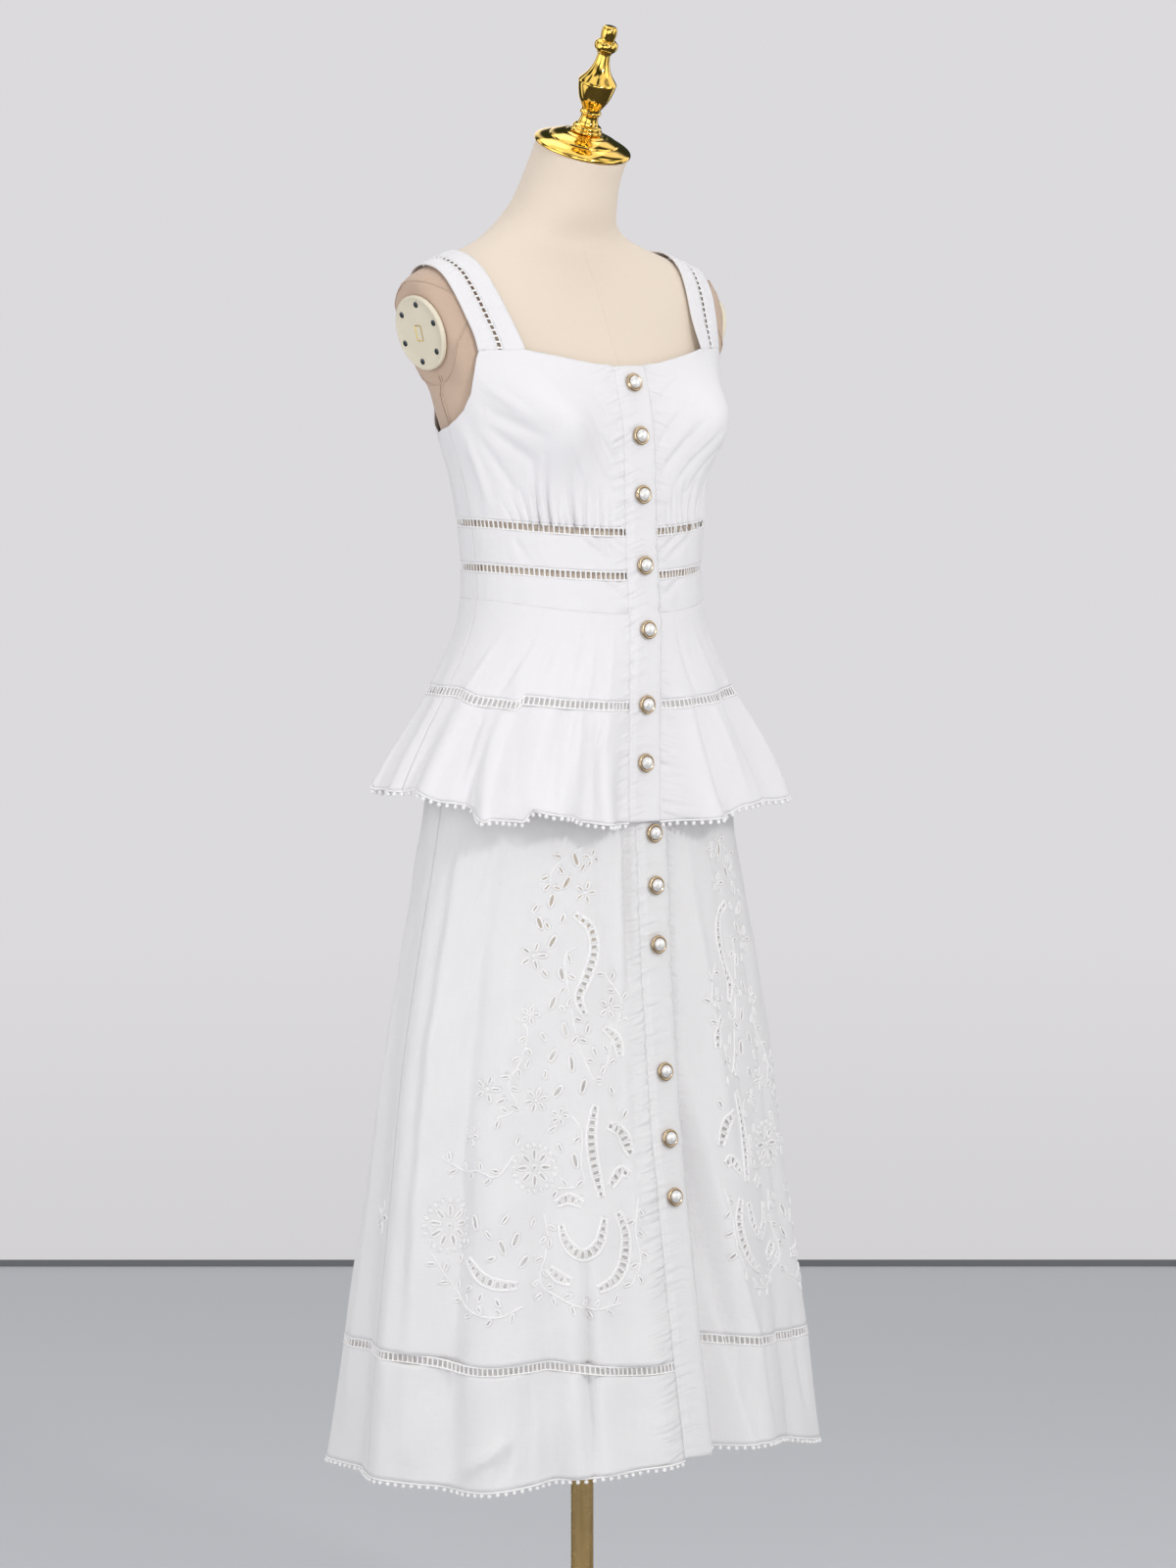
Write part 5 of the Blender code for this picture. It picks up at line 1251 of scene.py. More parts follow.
# cutwork
# Places are a turn past centre front and a height; the left front mirrors the right one.
leafCuts = (
    (28.0, 0.884, -20.0, 0.014), (30.8, 0.862, 30.0, 0.013), (35.6, 0.845, 10.0, 0.013), (39.1, 0.824, -25.0, 0.013),
    (34.5, 0.806, 28.0, 0.013), (31.0, 0.775, -14.0, 0.013), (33.5, 0.748, 22.0, 0.013), (29.5, 0.722, -16.0, 0.014),
    (33.0, 0.698, 28.0, 0.013), (27.5, 0.690, -5.0, 0.015), (24.2, 0.668, 16.0, 0.014), (31.5, 0.664, 36.0, 0.013),
    (43.7, 0.525, 25.0, 0.014), (47.3, 0.518, -20.0, 0.014), (41.6, 0.504, 42.0, 0.013), (55.4, 0.541, -15.0, 0.014),
    (27.0, 0.598, -10.0, 0.014),
)
smallLeafCuts = (
    (25.4, 0.876, 30.0, 0.009), (33.0, 0.874, -35.0, 0.009), (37.5, 0.858, 45.0, 0.009), (41.0, 0.838, 35.0, 0.009),
    (36.5, 0.822, -30.0, 0.008), (31.5, 0.828, 20.0, 0.009), (36.5, 0.776, -40.0, 0.009), (28.4, 0.748, 25.0, 0.009),
    (26.5, 0.712, 38.0, 0.009), (36.0, 0.716, -28.0, 0.009), (30.4, 0.742, -40.0, 0.008), (35.2, 0.680, 10.0, 0.009),
    (20.6, 0.700, -25.0, 0.009), (18.4, 0.682, 30.0, 0.009), (22.6, 0.722, 15.0, 0.009), (40.5, 0.690, 20.0, 0.009),
    (48.0, 0.656, 60.0, 0.009), (44.0, 0.650, -60.0, 0.009), (33.0, 0.628, 50.0, 0.009), (43.0, 0.618, 15.0, 0.009),
    (31.0, 0.610, -30.0, 0.009), (46.5, 0.545, 40.0, 0.010), (51.0, 0.530, -40.0, 0.009), (39.0, 0.540, 20.0, 0.009),
    (59.0, 0.520, 40.0, 0.009), (61.5, 0.505, 20.0, 0.009), (50.5, 0.507, 70.0, 0.009), (38.0, 0.470, 60.0, 0.010),
    (12.2, 0.640, 25.0, 0.009), (15.8, 0.662, -25.0, 0.009), (26.0, 0.560, 60.0, 0.009), (34.5, 0.520, 10.0, 0.009),
    (57.5, 0.478, 60.0, 0.009), (53.5, 0.470, 20.0, 0.009), (48.5, 0.466, -30.0, 0.009),
)
# turn, height, petal length, petals, distance of the petals from the middle
flowerCuts = (
    (24.2, 0.852, 0.0075, 5, 0.0030), (40.5, 0.793, 0.0090, 5, 0.0042), (15.8, 0.741, 0.0085, 5, 0.0030),
    (52.8, 0.667, 0.0090, 5, 0.0042), (37.8, 0.656, 0.0090, 6, 0.0032), (22.5, 0.885, 0.0060, 4, 0.0026),
    (40.5, 0.737, 0.0070, 5, 0.0026), (58.0, 0.622, 0.0070, 5, 0.0026), (31.0, 0.640, 0.0060, 5, 0.0024),
)
medallions = (
    (38.4, 0.592, 0.0110, 8, 0.0068), (65.6, 0.536, 0.0115, 9, 0.0085),
)
# ribbons of ladder cells: width, then the route
scrollCuts = (
    (0.0075, ((27.8, 0.832), (22.2, 0.818), (20.8, 0.796), (23.3, 0.770), (25.6, 0.752), (23.4, 0.735))),
    (0.0065, ((17.6, 0.722), (14.0, 0.712), (12.9, 0.694))),
    (0.0085, ((20.8, 0.650), (22.4, 0.622), (22.0, 0.595), (20.2, 0.562))),
    (0.0085, ((17.6, 0.630), (13.6, 0.622), (11.2, 0.600))),
    (0.0080, ((17.6, 0.572), (14.6, 0.585), (12.2, 0.582))),
    (0.0085, ((31.3, 0.538), (30.0, 0.520), (26.0, 0.509), (21.8, 0.519), (19.8, 0.543))),
    (0.0090, ((16.2, 0.548), (14.2, 0.525), (15.2, 0.500), (18.2, 0.484), (22.8, 0.476))),
    (0.0075, ((32.4, 0.557), (28.8, 0.562), (25.4, 0.556))),
    (0.0080, ((58.0, 0.506), (53.6, 0.490), (48.6, 0.483), (43.4, 0.482))),
    (0.0075, ((34.8, 0.497), (32.2, 0.488), (29.2, 0.484))),
)
# satin stems with small leaves on both sides, in the free cloth between the larger cuts
vineRoutes = (
    ((26.0, 0.896), (32.5, 0.885), (36.5, 0.868), (34.5, 0.845)),
    ((44.5, 0.735), (41.0, 0.722), (42.5, 0.695), (46.0, 0.672), (43.5, 0.650), (49.0, 0.640)),
    ((26.5, 0.800), (30.0, 0.790), (27.5, 0.738), (24.5, 0.700), (19.5, 0.668), (16.0, 0.700), (12.5, 0.745),
     (17.5, 0.775)),
    ((27.5, 0.640), (25.0, 0.625), (25.5, 0.595), (25.0, 0.575), (32.0, 0.572)),
    ((44.0, 0.605), (49.0, 0.585), (55.0, 0.590), (61.0, 0.588), (68.0, 0.600)),
    ((36.0, 0.548), (35.0, 0.520), (37.5, 0.485), (33.0, 0.470), (25.0, 0.458), (17.0, 0.462)),
    ((42.0, 0.462), (49.0, 0.452), (57.0, 0.458), (64.0, 0.480), (70.0, 0.510)),
    ((10.2, 0.560), (11.5, 0.530), (11.0, 0.500), (13.5, 0.478)),
)
vineLook = {"spacing": 0.0105, "leaf": 0.0085, "width": 0.0034, "tilt": 52.0, "room": 0.0018, "stemRoom": 0.0030}
backFlowers = ((97.0, 0.538, 0.0125, 5, 0.0042), (148.0, 0.505, 0.0125, 5, 0.0042))
cutSizes = {"leafWidth": 0.0052, "smallWidth": 0.0036, "petalWidth": 0.0042, "cell": 0.0072, "bar": 0.0024,
            "leftShift": 6.5, "edgeCord": 0.0011, "ribCord": 0.0013}


def leafOutline(length, width, tilt, start, corners=10):
    share = np.linspace(0.0, np.pi, corners // 2 + 1)
    half = [(width / 2 * math.sin(a) ** 0.8, (1 - math.cos(a)) / 2 * length) for a in share]
    outline = half + [(-x, z) for x, z in reversed(half[1:-1])]
    sine, cosine = math.sin(math.radians(tilt)), math.cos(math.radians(tilt))
    return [(x * cosine + (z + start) * sine, (z + start) * cosine - x * sine) for x, z in outline]


def roundOutline(radius, corners=9):
    return [(radius * math.cos(2 * math.pi * i / corners), radius * math.sin(2 * math.pi * i / corners))
            for i in range(corners)]


def degreeRate(place, turn, z):
    step = place(np.array([turn + 0.4]), np.array([z])) - place(np.array([turn - 0.4]), np.array([z]))
    return 0.8 / float(np.linalg.norm(step))


def onPanel(place, turn, z, outline):
    rate = degreeRate(place, turn, z)
    return [(turn + x * rate, z + up) for x, up in outline]


def scrollOutlines(place, width, route, mirror):
    # cells of a ladder ribbon and the two ribs beside them
    flat = smoothCurve([(mirror(turn), z, 0) for turn, z in route], 12)
    spots = np.array(flat)
    travelled = lengthsAlong(place(spots[:, 0], spots[:, 1]))
    total = travelled[-1]
    count = max(2, int(round(total / cutSizes["cell"])))
    rate = degreeRate(place, spots[len(spots) // 2, 0], spots[len(spots) // 2, 1])

    def at(distance, hand, extra):
        distance = min(max(distance, 0.0), total)
        turn, z = np.interp(distance, travelled, spots[:, 0]), np.interp(distance, travelled, spots[:, 1])
        ahead = min(distance + 0.003, total)
        back = max(distance - 0.003, 0.0)
        runX = (np.interp(ahead, travelled, spots[:, 0]) - np.interp(back, travelled, spots[:, 0])) / rate
        runZ = np.interp(ahead, travelled, spots[:, 1]) - np.interp(back, travelled, spots[:, 1])
        size = math.hypot(runX, runZ)
        taper = math.sin(math.pi * min(max(distance / total * 0.84 + 0.08, 0.0), 1.0)) ** 0.6
        half = hand * (width / 2 * taper + extra)
        return turn - runZ / size * half * rate, z + runX / size * half

    cells = []
    for cell in range(count):
        start = (cell + 0.5) * total / count - (cutSizes["cell"] - cutSizes["bar"]) / 2
        end = start + cutSizes["cell"] - cutSizes["bar"]
        middle = (start + end) / 2
        cells.append([at(start, 0.86, 0.0), at(middle, 1.0, 0.0), at(end, 0.86, 0.0),
                      at(end, -0.86, 0.0), at(middle, -1.0, 0.0), at(start, -0.86, 0.0)])
    ribs = []
    for hand in (-1, 1):
        ribs.append([at(distance, hand, 0.0012) for distance in np.linspace(0.0, total, 28)])
    return cells, ribs


def clearOf(holes, outline, room):
    # how far an outline's points stay from the holes already placed
    scale = np.array((arcs["skirt"], 1.0))
    near = np.array(outline) * scale
    taken = np.vstack([np.array(hole) for hole in holes]) * scale
    return np.linalg.norm(near[:, None] - taken[None], axis=2).min(axis=1) > room


def growVines(holes, mirror):
    stems = []
    for route in vineRoutes:
        flat = np.array(smoothCurve([(mirror(turn), z, 0) for turn, z in route], 14))[:, :2]
        travelled = lengthsAlong(skirtPlace(flat[:, 0], flat[:, 1]))
        stops = np.arange(vineLook["spacing"], travelled[-1], vineLook["spacing"])
        for number, stop in enumerate(stops):
            turn, z = (float(np.interp(stop, travelled, flat[:, column])) for column in (0, 1))
            ahead = [float(np.interp(stop + 0.002, travelled, flat[:, column])) for column in (0, 1)]
            heading = math.degrees(math.atan2((ahead[0] - turn) * arcs["skirt"], ahead[1] - z))
            hand = 1 if number % 2 else -1
            leaf = onPanel(skirtPlace, turn, z, leafOutline(vineLook["leaf"], vineLook["width"],
                                                            heading + hand * vineLook["tilt"], 0.0022, 8))
            if clearOf(holes, leaf, vineLook["room"]).all():
                holes.append(leaf)
        stem = [tuple(spot) for spot in flat]
        free = clearOf(holes, stem, vineLook["stemRoom"] * 0.5)
        run = []
        for spot, isFree in zip(stem + [None], list(free) + [False]):
            if isFree:
                run.append(spot)
            else:
                if len(run) > 3:
                    stems.append(run)
                run = []
    return stems


def frontCutwork(side):
    # the left front's pattern starts past its deep fold
    shift = cutSizes["leftShift"] if side > 0 else 0.0

    def mirror(turn):
        return side * (turn + shift)

    holes, ribs = [], []
    for turn, z, tilt, length in leafCuts:
        holes.append(onPanel(skirtPlace, mirror(turn), z,
                             leafOutline(length, cutSizes["leafWidth"], -side * tilt, -length / 2, 12)))
    for turn, z, tilt, length in smallLeafCuts:
        holes.append(onPanel(skirtPlace, mirror(turn), z,
                             leafOutline(length, cutSizes["smallWidth"], -side * tilt, -length / 2)))
    for turn, z, petal, count, start in flowerCuts:
        holes.append(onPanel(skirtPlace, mirror(turn), z, roundOutline(0.0012, 8)))
        for i in range(count):
            holes.append(onPanel(skirtPlace, mirror(turn), z,
                                 leafOutline(petal, cutSizes["petalWidth"] * 0.8, 360.0 * i / count + 18.0, start)))
    for turn, z, petal, count, start in medallions:
        holes.append(onPanel(skirtPlace, mirror(turn), z, roundOutline(0.0024)))
        for i in range(count):
            holes.append(onPanel(skirtPlace, mirror(turn), z,
                                 leafOutline(petal, cutSizes["petalWidth"], 360.0 * i / count, start)))
        rings = 20
        for i in range(rings):
            holes.append(onPanel(skirtPlace, mirror(turn), z,
                                 leafOutline(0.0034, 0.0022, 360.0 * i / rings, start + petal + 0.0022, 8)))
    for width, route in scrollCuts:
        cells, sides = scrollOutlines(skirtPlace, width, route, mirror)
        holes += cells
        ribs += sides
    stems = growVines(holes, mirror)
    return holes, ribs, stems


def backCutwork():
    holes = []
    for turn, z, petal, count, start in backFlowers:
        for centre in (turn, 360.0 - turn):
            holes.append(onPanel(skirtPlace, centre, z, roundOutline(0.0020)))
            for i in range(count):
                holes.append(onPanel(skirtPlace, centre, z,
                                     leafOutline(petal, 0.0052, 360.0 * i / count + 18.0, start, 12)))
    return holes


def insideMask(polygon, x, y):
    crossed = np.zeros(x.shape, bool)
    last = len(polygon)
    for i in range(last):
        ax, ay = polygon[i]
        bx, by = polygon[(i + 1) % last]
        if ay == by:
            continue
        hits = ((ay > y) != (by > y)) & (x < (bx - ax) * (y - ay) / (by - ay) + ax)
        crossed ^= hits
    return crossed


def cutCloth(name, place, leftEdge, rightEdge, bottom, top, cell, holes, material, thickness, arc):
    heights = np.linspace(float(bottom(0.0)), float(top(0.0)), 60)
    leftTurn, rightTurn = float(leftEdge(heights).min()), float(rightEdge(heights).max())
    columns = int((rightTurn - leftTurn) * arc / cell)
    across = np.linspace(0.0, 1.0, columns + 1)
    lowTurn = lerp(leftEdge(np.array([heights[0]]))[0], rightEdge(np.array([heights[0]]))[0], across)
    highTurn = lerp(leftEdge(np.array([heights[-1]]))[0], rightEdge(np.array([heights[-1]]))[0], across)
    lows = list(zip(lowTurn, bottom(lowTurn)))
    highs = list(zip(highTurn, top(highTurn)))
    rows = int((heights[-1] - heights[0]) / cell)
    rightZ = np.linspace(lows[-1][1], highs[-1][1], rows + 1)[1:-1]
    leftZ = np.linspace(lows[0][1], highs[0][1], rows + 1)[1:-1]
    rim = lows + list(zip(rightEdge(rightZ), rightZ)) + highs[::-1] + list(zip(leftEdge(leftZ), leftZ))[::-1]
    rim = [(float(a), float(b)) for a, b in rim]
    spots = list(rim)
    edges = [(i, (i + 1) % len(rim)) for i in range(len(rim))]
    up, sideways = np.meshgrid(np.linspace(0, 1, rows + 1)[1:-1], across[1:-1], indexing="ij")
    sideways = sideways + (np.arange(rows - 1) % 2)[:, None] * 0.5 / columns
    guess = lerp(lowTurn[0], lowTurn[-1], sideways)
    z = lerp(bottom(guess), top(guess), up)
    turn = lerp(leftEdge(z), rightEdge(z), sideways)
    z = lerp(bottom(turn), top(turn), up)
    turn, z = turn.ravel(), z.ravel()
    keep = (turn < rightEdge(z) - 0.35 * cell / arc) & (turn > leftEdge(z) + 0.35 * cell / arc)
    for hole in holes:
        outline = np.array(hole)
        low, high = outline.min(axis=0), outline.max(axis=0)
        near = keep & (turn > low[0] - 2) & (turn < high[0] + 2) & (z > low[1] - 0.006) & (z < high[1] + 0.006)
        index = np.nonzero(near)[0]
        if len(index) == 0:
            continue
        bad = insideMask(hole, turn[index], z[index])
        closed = np.vstack((outline, outline[:1]))
        for i in range(len(outline)):
            ax, ay = closed[i][0] * arc, closed[i][1]
            bx, by = closed[i + 1][0] * arc, closed[i + 1][1]
            runX, runY = bx - ax, by - ay
            along = np.clip(((turn[index] * arc - ax) * runX + (z[index] - ay) * runY)
                            / max(runX ** 2 + runY ** 2, 1e-12), 0, 1)
            distance = np.hypot(turn[index] * arc - ax - along * runX, z[index] - ay - along * runY)
            bad |= distance < 0.0012
        keep[index[bad]] = False
    spots += list(zip(turn[keep].tolist(), z[keep].tolist()))
    for hole in holes:
        first = len(spots)
        spots += [(float(a), float(b)) for a, b in hole]
        edges += [(first + i, first + (i + 1) % len(hole)) for i in range(len(hole))]
    flat = [Vector((a * arc, b)) for a, b in spots]
    outSpots, outEdges, outFaces = delaunay_2d_cdt(flat, edges, [], 0, 1e-7)[:3]
    final = np.array([(point.x / arc, point.y) for point in outSpots])
    triangles = np.array([face for face in outFaces if len(face) == 3])
    corners = final[triangles]
    centre = corners.mean(axis=1)
    area = np.cross(corners[:, 1] - corners[:, 0], corners[:, 2] - corners[:, 0])
    good = (np.abs(area) > 1e-8) & insideMask(rim, centre[:, 0], centre[:, 1])
    for hole in holes:
        outline = np.array(hole)
        low, high = outline.min(axis=0), outline.max(axis=0)
        near = np.nonzero(good & (centre[:, 0] > low[0]) & (centre[:, 0] < high[0])
                          & (centre[:, 1] > low[1]) & (centre[:, 1] < high[1]))[0]
        inHole = insideMask(hole, centre[near, 0], centre[near, 1])
        good[near[inHole]] = False
    triangles = triangles[good]
    flip = area[good] < 0
    triangles[flip] = triangles[flip][:, ::-1]
    used = np.unique(triangles)
    renumber = np.full(len(final), -1)
    renumber[used] = np.arange(len(used))
    points = place(final[used, 0], final[used, 1])
    uv = np.stack((final[used, 0] * arc, final[used, 1]), -1)
    piece = newPiece(name, points, [tuple(int(v) for v in face) for face in renumber[triangles]], material, uv)
    thicken(piece, thickness)
    width = float(np.linalg.norm(np.diff(place(lowTurn, bottom(lowTurn)), axis=0), axis=1).sum())
    return piece, width, float(heights[-1] - heights[0])


def skirtHemHeight(turn):
    return hemLines(turn, 0)


def skirtLadderHeight(turn):
    return hemLines(turn, 1)


def raisedRuns(outlines, lift, closed):
    runs = []
    for outline in outlines:
        spots = np.array(outline)
        runs.append((raised(skirtPlace, spots[:, 0], spots[:, 1], lift), closed))
    return runs


def makeSkirt():
    edge = 90.0 - sideTurnGap(skirtPlace, 1.0)
    bottom = lambda t: skirtLadderHeight(t) + ladderHalf + gap
    top = lambda t: seamHeight("waist", t) - 0.0005
    rightHoles, rightRibs, rightStems = frontCutwork(-1)
    leftHoles, leftRibs, leftStems = frontCutwork(1)
    backHoles = backCutwork()
    ways = (("front_right", fixedEdge(-edge), xEdge(skirtPlace, -seams["placketHalf"] + 0.0006), rightHoles),
            ("front_left", xEdge(skirtPlace, -seams["underlap"]), fixedEdge(edge), leftHoles),
            ("back", fixedEdge(180.0 - edge), fixedEdge(180.0 + edge), backHoles))
    for label, left, right, holes in ways:
        piece, width, length = cutCloth("skirt_cloth_" + label, skirtPlace, left, right, bottom, top, 0.0042,
                                        holes, skirtCotton, cloth["skirt"], arcs["skirt"])
        finish(piece, "cotton", "skirt_" + label)
        flatSize(piece, width, length, "hung", "form_body")
    threeWays("hem_cloth", "hem_band", skirtPlace, 0.35, skirtHemHeight,
              lambda t: skirtLadderHeight(t) - ladderHalf - gap,
              (0.0040, 0.0040), skirtCotton, cloth["skirt"], arcs["skirt"], "hung", "skirt_cloth_back")
    for label, holes, ribs, stems in (("right", rightHoles, rightRibs, rightStems),
                                      ("left", leftHoles, leftRibs, leftStems), ("back", backHoles, [], [])):
        edgeRuns = raisedRuns(holes, 0.0004, True) + raisedRuns(stems, 0.0003, False)
        finish(cordWork("satin_edges_" + label, edgeRuns, cutSizes["edgeCord"], 5, threadWork), "cotton")
        if ribs:
            finish(cordWork("satin_ribs_" + label, raisedRuns(ribs, 0.0005, False), cutSizes["ribCord"], 6,
                            threadWork), "cotton")


makeSkirt()
print("skirt and cutwork ready")


# ladders, trims, placket, straps, buttons
ladderLook = {"pitch": 0.0050, "barRadius": 0.00105, "edgeRadius": 0.0009, "flat": 0.6}
beadLook = {"pitch": 0.0080, "radius": 0.0022, "drop": 0.0030}
ringStart = seams["placketHalf"] + 0.0003    # where a trim starts beside the centre line


def ballShape(segments, rings):
    profile = [(math.sin(math.pi * i / rings), -math.cos(math.pi * i / rings), 0) for i in range(rings + 1)]
    return turnedPiece("ballShape", profile, segments, (0, 0, 0), (0, 0, 1), threadWork, 1, 180.0)


def rodShape(sides):
    return turnedPiece("rodShape", ((1.0, -0.5, 1), (0.82, 0.0, 0), (1.0, 0.5, 1)), sides, (0, 0, 0), (0, 0, 1),
                       threadWork, 1, 60.0)


def ringTurns(place, z, count):
    # once round, from one edge of the placket to the other
    height = np.array([z])
    middle = place(np.zeros(1), height)[0, 0]
    return np.linspace(float(turnAt(place, middle + ringStart, height)[0]),
                       360.0 + float(turnAt(place, middle - ringStart, height)[0]), count)


def layBars(name, low, high, normals, sizes):
    spins = [spinTo(high[i] - low[i], normals[i]) for i in range(len(low))]
    finish(repeatShape(name, rodShape(6), (low + high) / 2, spins, sizes, threadWork), "openwork")


def ladderWork(name, node, place, zNear, height):
    turns = ringTurns(place, zNear, 600)
    runs = []
    for offset in (-ladderHalf + 0.0006, ladderHalf - 0.0006):
        runs.append((raised(place, turns, height(turns) + offset, 0.0001), False))
    finish(cordWork(name + "_edges", runs, ladderLook["edgeRadius"], 6, threadWork), "openwork", node)
    spots = evenStops(place(turns, height(turns)), turns, ladderLook["pitch"])
    size = (ladderLook["barRadius"] * ladderLook["flat"], ladderLook["barRadius"], seams["ladderHeight"] - 0.001)
    layBars(name + "_bars", place(spots, height(spots) - ladderHalf), place(spots, height(spots) + ladderHalf),
            normalsOf(place, spots, height(spots)), [size] * len(spots))


def picotTrim(name, node, place, zNear, height):
    turns = ringTurns(place, zNear, 720)
    heading = [(raised(place, turns, height(turns) - 0.0010, 0.0), False)]
    finish(cordWork(name + "_heading", heading, 0.0010, 6, threadWork), "openwork", node)
    spots = evenStops(place(turns, height(turns)), turns, beadLook["pitch"])
    random = np.random.default_rng(41)
    centres = place(spots, height(spots) - 0.0010)
    centres[:, 2] -= beadLook["drop"] + random.uniform(-0.0004, 0.0004, len(spots))
    spins = random.uniform(-0.5, 0.5, (len(spots), 3))
    sizes = beadLook["radius"] * random.uniform(0.88, 1.08, (len(spots), 3))
    finish(repeatShape(name + "_beads", ballShape(8, 6), centres, spins, sizes, threadWork), "openwork")


def makeTrims():
    ladderWork("ladder_bust_work", "ladder_underbust", bodicePlace, 1.2, lambda t: seamHeight("bustLadder", t))
    ladderWork("ladder_waist_work", "ladder_waist", bodicePlace, 1.157, lambda t: seamHeight("waistLadder", t))
    ladderWork("ladder_peplum_work", "ladder_peplum", peplumPlace, 1.03, peplumLadderHeight)
    ladderWork("ladder_skirt_work", "ladder_skirt", skirtPlace, 0.42, skirtLadderHeight)
    picotTrim("picot_peplum", "peplum_trim", peplumPlace, 0.93, peplumHemHeight)
    picotTrim("picot_hem", "hem_trim", skirtPlace, 0.30, skirtHemHeight)


buttonHeights = (1.337, 1.287, 1.231, 1.163, 1.101, 1.030, 0.974, 0.906, 0.856, 0.799, 0.677, 0.613, 0.557)
placketLook = {"upperLift": 0.0023, "skirtLift": 0.0028, "split": 0.915}


def placketLift(lift, count):
    # sewn down along the right front's edge, free along the other
    across = np.linspace(-seams["placketHalf"], seams["placketHalf"], count)
    rise = lerp(0.0002, lift, smoothStep(across, -0.0175, -0.0095))
    return (rise - 0.0005 * smoothStep(across, 0.012, 0.018))[None, :]


def makePlacket():
    half = seams["placketHalf"]
    for name, node, place, low, high, lift, rows, material in (
            ("placket_cloth_upper", "placket_upper", upperFrontPlace, 0.918, 1.3535, placketLook["upperLift"],
             150, bodiceCotton),
            ("placket_cloth_skirt", "placket_skirt", skirtPlace, seams["placketHem"], 0.935,
             placketLook["skirtLift"], 200, skirtCotton)):
        piece, width, length = clothGrid(name, place, xEdge(place, -half), xEdge(place, half),
                                         lambda t: low + 0.0 * np.asarray(t, float),
                                         lambda t: high + 0.0 * np.asarray(t, float),
                                         24, rows, material, cloth["placket"], arcs["bodice"],
                                         placketLift(lift, 25))
        finish(piece, "cotton", node)
        flatSize(piece, width, length, "hung", "form_body")
        heights = np.linspace(low + 0.003, high - 0.003, int((high - low) / 0.0034))
        spots, spins, sizes = [], [], []
        for offset in (-half + 0.0022, half - 0.0022):
            turns = xEdge(place, offset)(heights)
            seatLift = float(np.interp(offset, np.linspace(-half, half, 49), placketLift(lift, 49)[0]))
            seats = raised(place, turns, heights, seatLift + cloth["placket"] / 2 + 0.0001)
            ups = place(turns, heights + 0.001) - place(turns, heights - 0.001)
            normals = normalsOf(place, turns, heights)
            for i in range(len(heights)):
                spots.append(seats[i])
                spins.append(spinTo(ups[i], normals[i]))
                sizes.append((0.00016, 0.00030, 0.0024))
        finish(repeatShape(name + "_stitches", rodShape(5), spots, spins, sizes, threadWork), "cotton")


def makeButtons():
    rim = turnedPiece("rimShape", ((0.0050, 0.0000, 1), (0.0080, 0.0002, 0), (0.0090, 0.0012, 0),
                                   (0.0092, 0.0023, 0), (0.0087, 0.0033, 0), (0.0078, 0.0037, 0),
                                   (0.0068, 0.0033, 1), (0.0060, 0.0024, 1)), 32, (0, 0, 0), (0, 0, 1), rimGold, 2)
    dome = turnedPiece("domeShape", ((0.0054, 0.0018, 1), (0.0061, 0.0030, 0), (0.0059, 0.0046, 0),
                                     (0.0048, 0.0060, 0), (0.0027, 0.0069, 0), (0.0002, 0.0072, 0)),
                       32, (0, 0, 0), (0, 0, 1), pearlDome, 3, 60.0)
    spots, spins = [], []
    for z in buttonHeights:
        place = skirtPlace if z < placketLook["split"] else upperFrontPlace
        lift = placketLook["skirtLift"] if z < placketLook["split"] else placketLook["upperLift"]
        height = np.array([z])
        turn = xEdge(place, 0.0)(height)
        normal = normalsOf(place, turn, height)[0]
        spots.append(place(turn, height)[0] + normal * (lift + 0.0012))
        spins.append(spinTo(normal))
    sizes = np.ones((len(spots), 3))
    rims = repeatShape("button_rims", rim, spots, spins, sizes, rimGold)
    pearls = repeatShape("button_pearls", dome, spots, spins, sizes, pearlDome)
    nodes = ["button_" + str(number).zfill(2) for number in range(1, len(buttonHeights) + 1)]
    finish(pearls, "pearl", *nodes)
    finish(rims, "gold")


# straps: angle over the shoulder, inner edge, outer edge, lift at both edges
strapSections = (
    (0.0, 0.1065, 0.1460, 0.0135, 0.0054), (14.0, 0.1080, 0.1480, 0.0085, 0.0045),
    (30.0, 0.1110, 0.1515, 0.0050, 0.0040), (60.0, 0.1180, 0.1570, 0.0040, 0.0040),
    (90.0, 0.1225, 0.1590, 0.0040, 0.0042), (120.0, 0.1205, 0.1550, 0.0042, 0.0044),
    (150.0, 0.1130, 0.1480, 0.0044, 0.0046), (180.0, 0.1030, 0.1390, 0.0046, 0.0046),
    (231.7, 0.0905, 0.1250, 0.0055, 0.0052),
)
strapEnd = strapSections[-1][0]
strapAxis = (0.037, 1.3705)    # depth and height that the straps run round
strapRibbons = {"inner_tape": (0.0, 0.475), "ladder": (0.482, 0.598), "outer_tape": (0.605, 1.0)}
strapBars = {"pitch": 0.0062, "wide": 0.0013, "thick": 0.0008, "edgeRadius": 0.0006}


def formInside(x, y, z):
    width, depth, middle = readTable(formSections, z)
    return (x / width) ** 2 + ((y - middle) / depth) ** 2 < 1.0


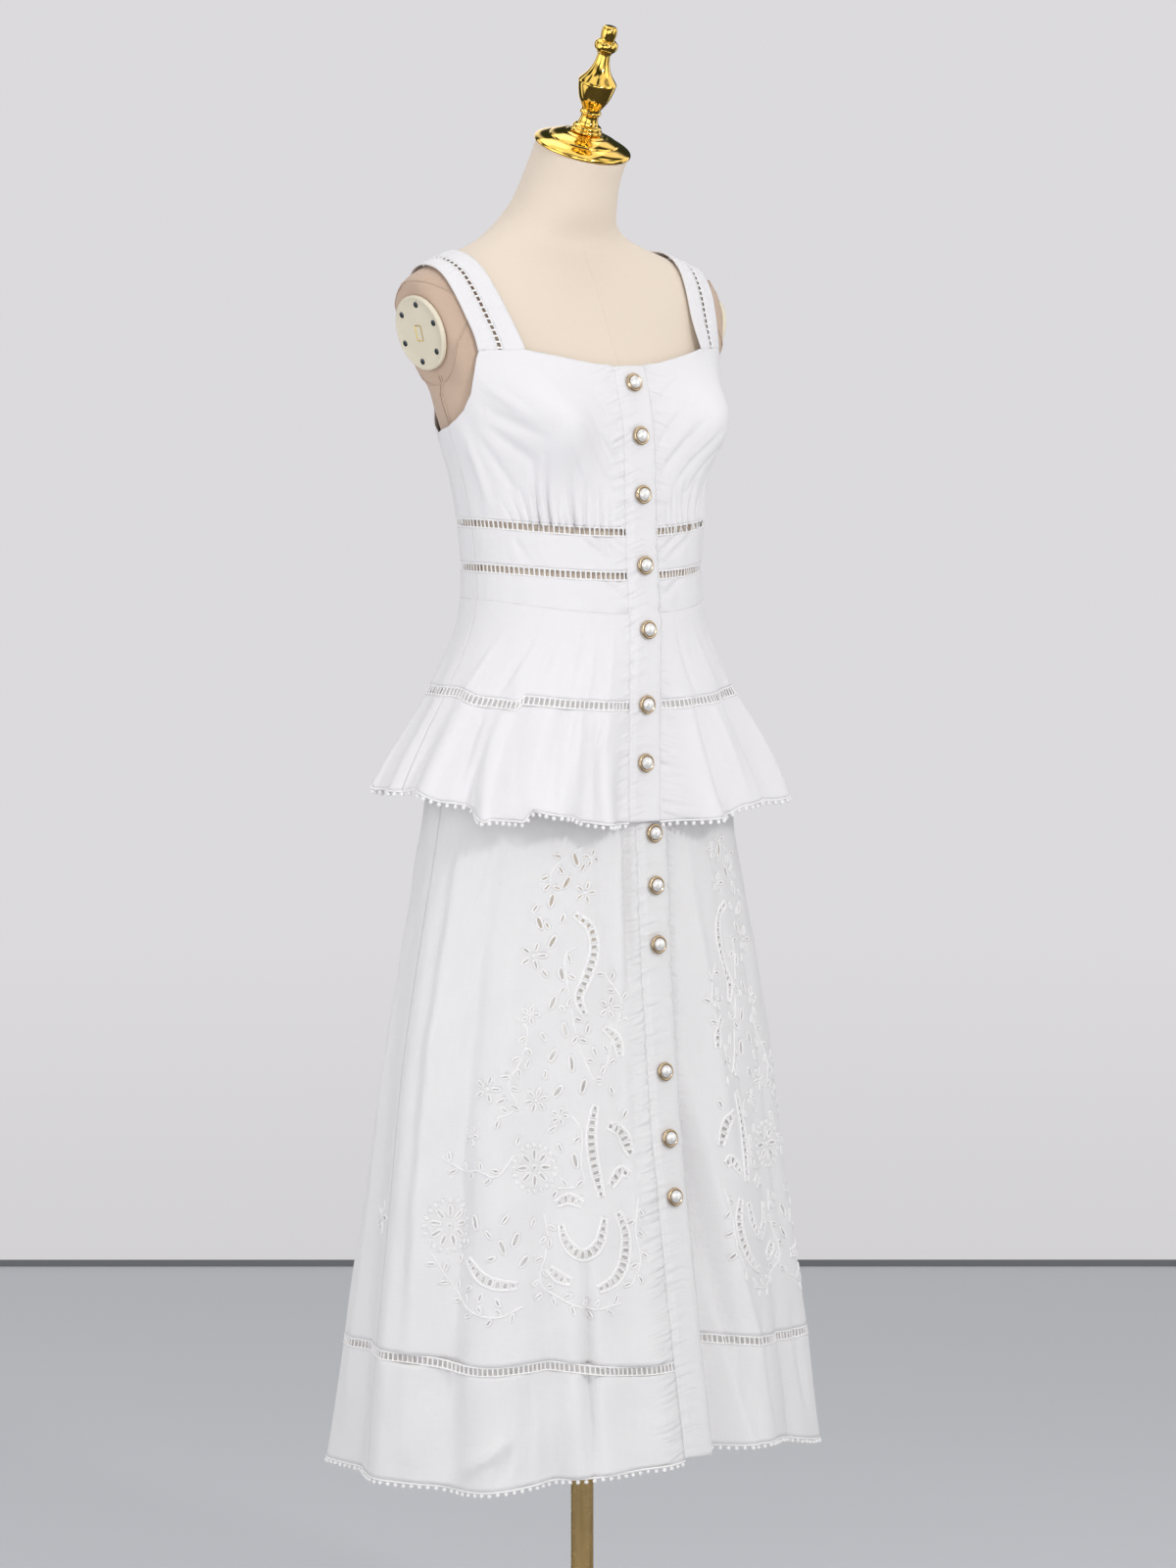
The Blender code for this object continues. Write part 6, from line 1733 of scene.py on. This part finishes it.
def strapPlace(side):
    def place(across, around):
        across, around = np.broadcast_arrays(np.asarray(across, float), np.asarray(around, float))
        innerX, outerX, innerLift, outerLift = readTable(strapSections, around)
        x = lerp(innerX, outerX, across)
        lift = lerp(innerLift, outerLift, across)
        forward, up = -np.cos(np.radians(around)), np.sin(np.radians(around))
        near, far = np.zeros(x.shape), np.full(x.shape, 0.16)
        for halving in range(28):
            reach = (near + far) / 2
            within = formInside(x, strapAxis[0] + forward * reach, strapAxis[1] + up * reach)
            near, far = np.where(within, reach, near), np.where(within, far, reach)
        reach = near + lift
        y, z = strapAxis[0] + forward * reach, strapAxis[1] + up * reach
        backZ = strapAxis[1] - 0.001 * (around - 180.0)    # straight down the back
        width, depth, middle = readTable(formSections, backZ)
        backY = middle + depth * np.sqrt(np.maximum(1.0 - (x / width) ** 2, 0.0)) + lift
        behind = around > 180.0
        y, z = np.where(behind, backY, y), np.where(behind, backZ, z)
        return np.stack((side * x, y, z), -1)
    return place


def strapNormals(place, across, around, side):
    along = place(across + 0.03, around) - place(across - 0.03, around)
    up = place(across, np.minimum(around + 1.5, strapEnd)) - place(across, np.maximum(around - 1.5, 0.0))
    normal = np.cross(along, up) * side
    return normal / np.linalg.norm(normal, axis=-1, keepdims=True)


def makeStraps():
    for side, label in ((-1, "right"), (1, "left")):
        place = strapPlace(side)
        around = np.concatenate((np.linspace(-1.2, 180.0, 76), np.linspace(183.0, strapEnd, 20)))
        for ribbon in ("inner_tape", "outer_tape"):
            shares = np.linspace(*strapRibbons[ribbon], 9)
            if side < 0:
                shares = shares[::-1]
            points = place(shares[None, :], around[:, None])
            stride = len(shares)
            faces = [(r * stride + c, r * stride + c + 1, (r + 1) * stride + c + 1, (r + 1) * stride + c)
                     for r in range(len(around) - 1) for c in range(stride - 1)]
            length = float(np.linalg.norm(np.diff(points[:, 4], axis=0), axis=1).sum())
            width = float(np.linalg.norm(points[48, 0] - points[48, -1]))
            uv = np.stack(np.broadcast_arrays(shares[None, :] * 0.045, (around / strapEnd * length)[:, None]), -1)
            piece = newPiece("strap_cloth_" + label + "_" + ribbon, points.reshape(-1, 3), faces, bodiceCotton,
                             uv.reshape(-1, 2))
            thicken(piece, cloth["tape"])
            finish(piece, "cotton", "strap_" + label + "_" + ribbon)
            flatSize(piece, width, length, "hung", "form_body")
        start, end = strapRibbons["ladder"]
        middle = (start + end) / 2
        runs = [(place(np.full(96, share), around), False) for share in (start + 0.006, end - 0.006)]
        edges = cordWork("strap_ladder_edges_" + label, runs, strapBars["edgeRadius"], 6, threadWork)
        finish(edges, "openwork", "strap_" + label + "_ladder")
        spots = evenStops(place(np.full(96, middle), around), around, strapBars["pitch"])
        inner, outer = (place(np.full(len(spots), share), spots) for share in (start, end))
        sizes = [(strapBars["thick"], strapBars["wide"], width) for width in np.linalg.norm(outer - inner, axis=1)]
        layBars("strap_ladder_bars_" + label, inner, outer,
                strapNormals(place, np.full(len(spots), middle), spots, side), sizes)


makeTrims()
makePlacket()
makeButtons()
makeStraps()
print("trims, plackets, buttons and straps ready")

for leftover in [mesh for mesh in bpy.data.meshes if mesh.users == 0]:
    bpy.data.meshes.remove(leftover)
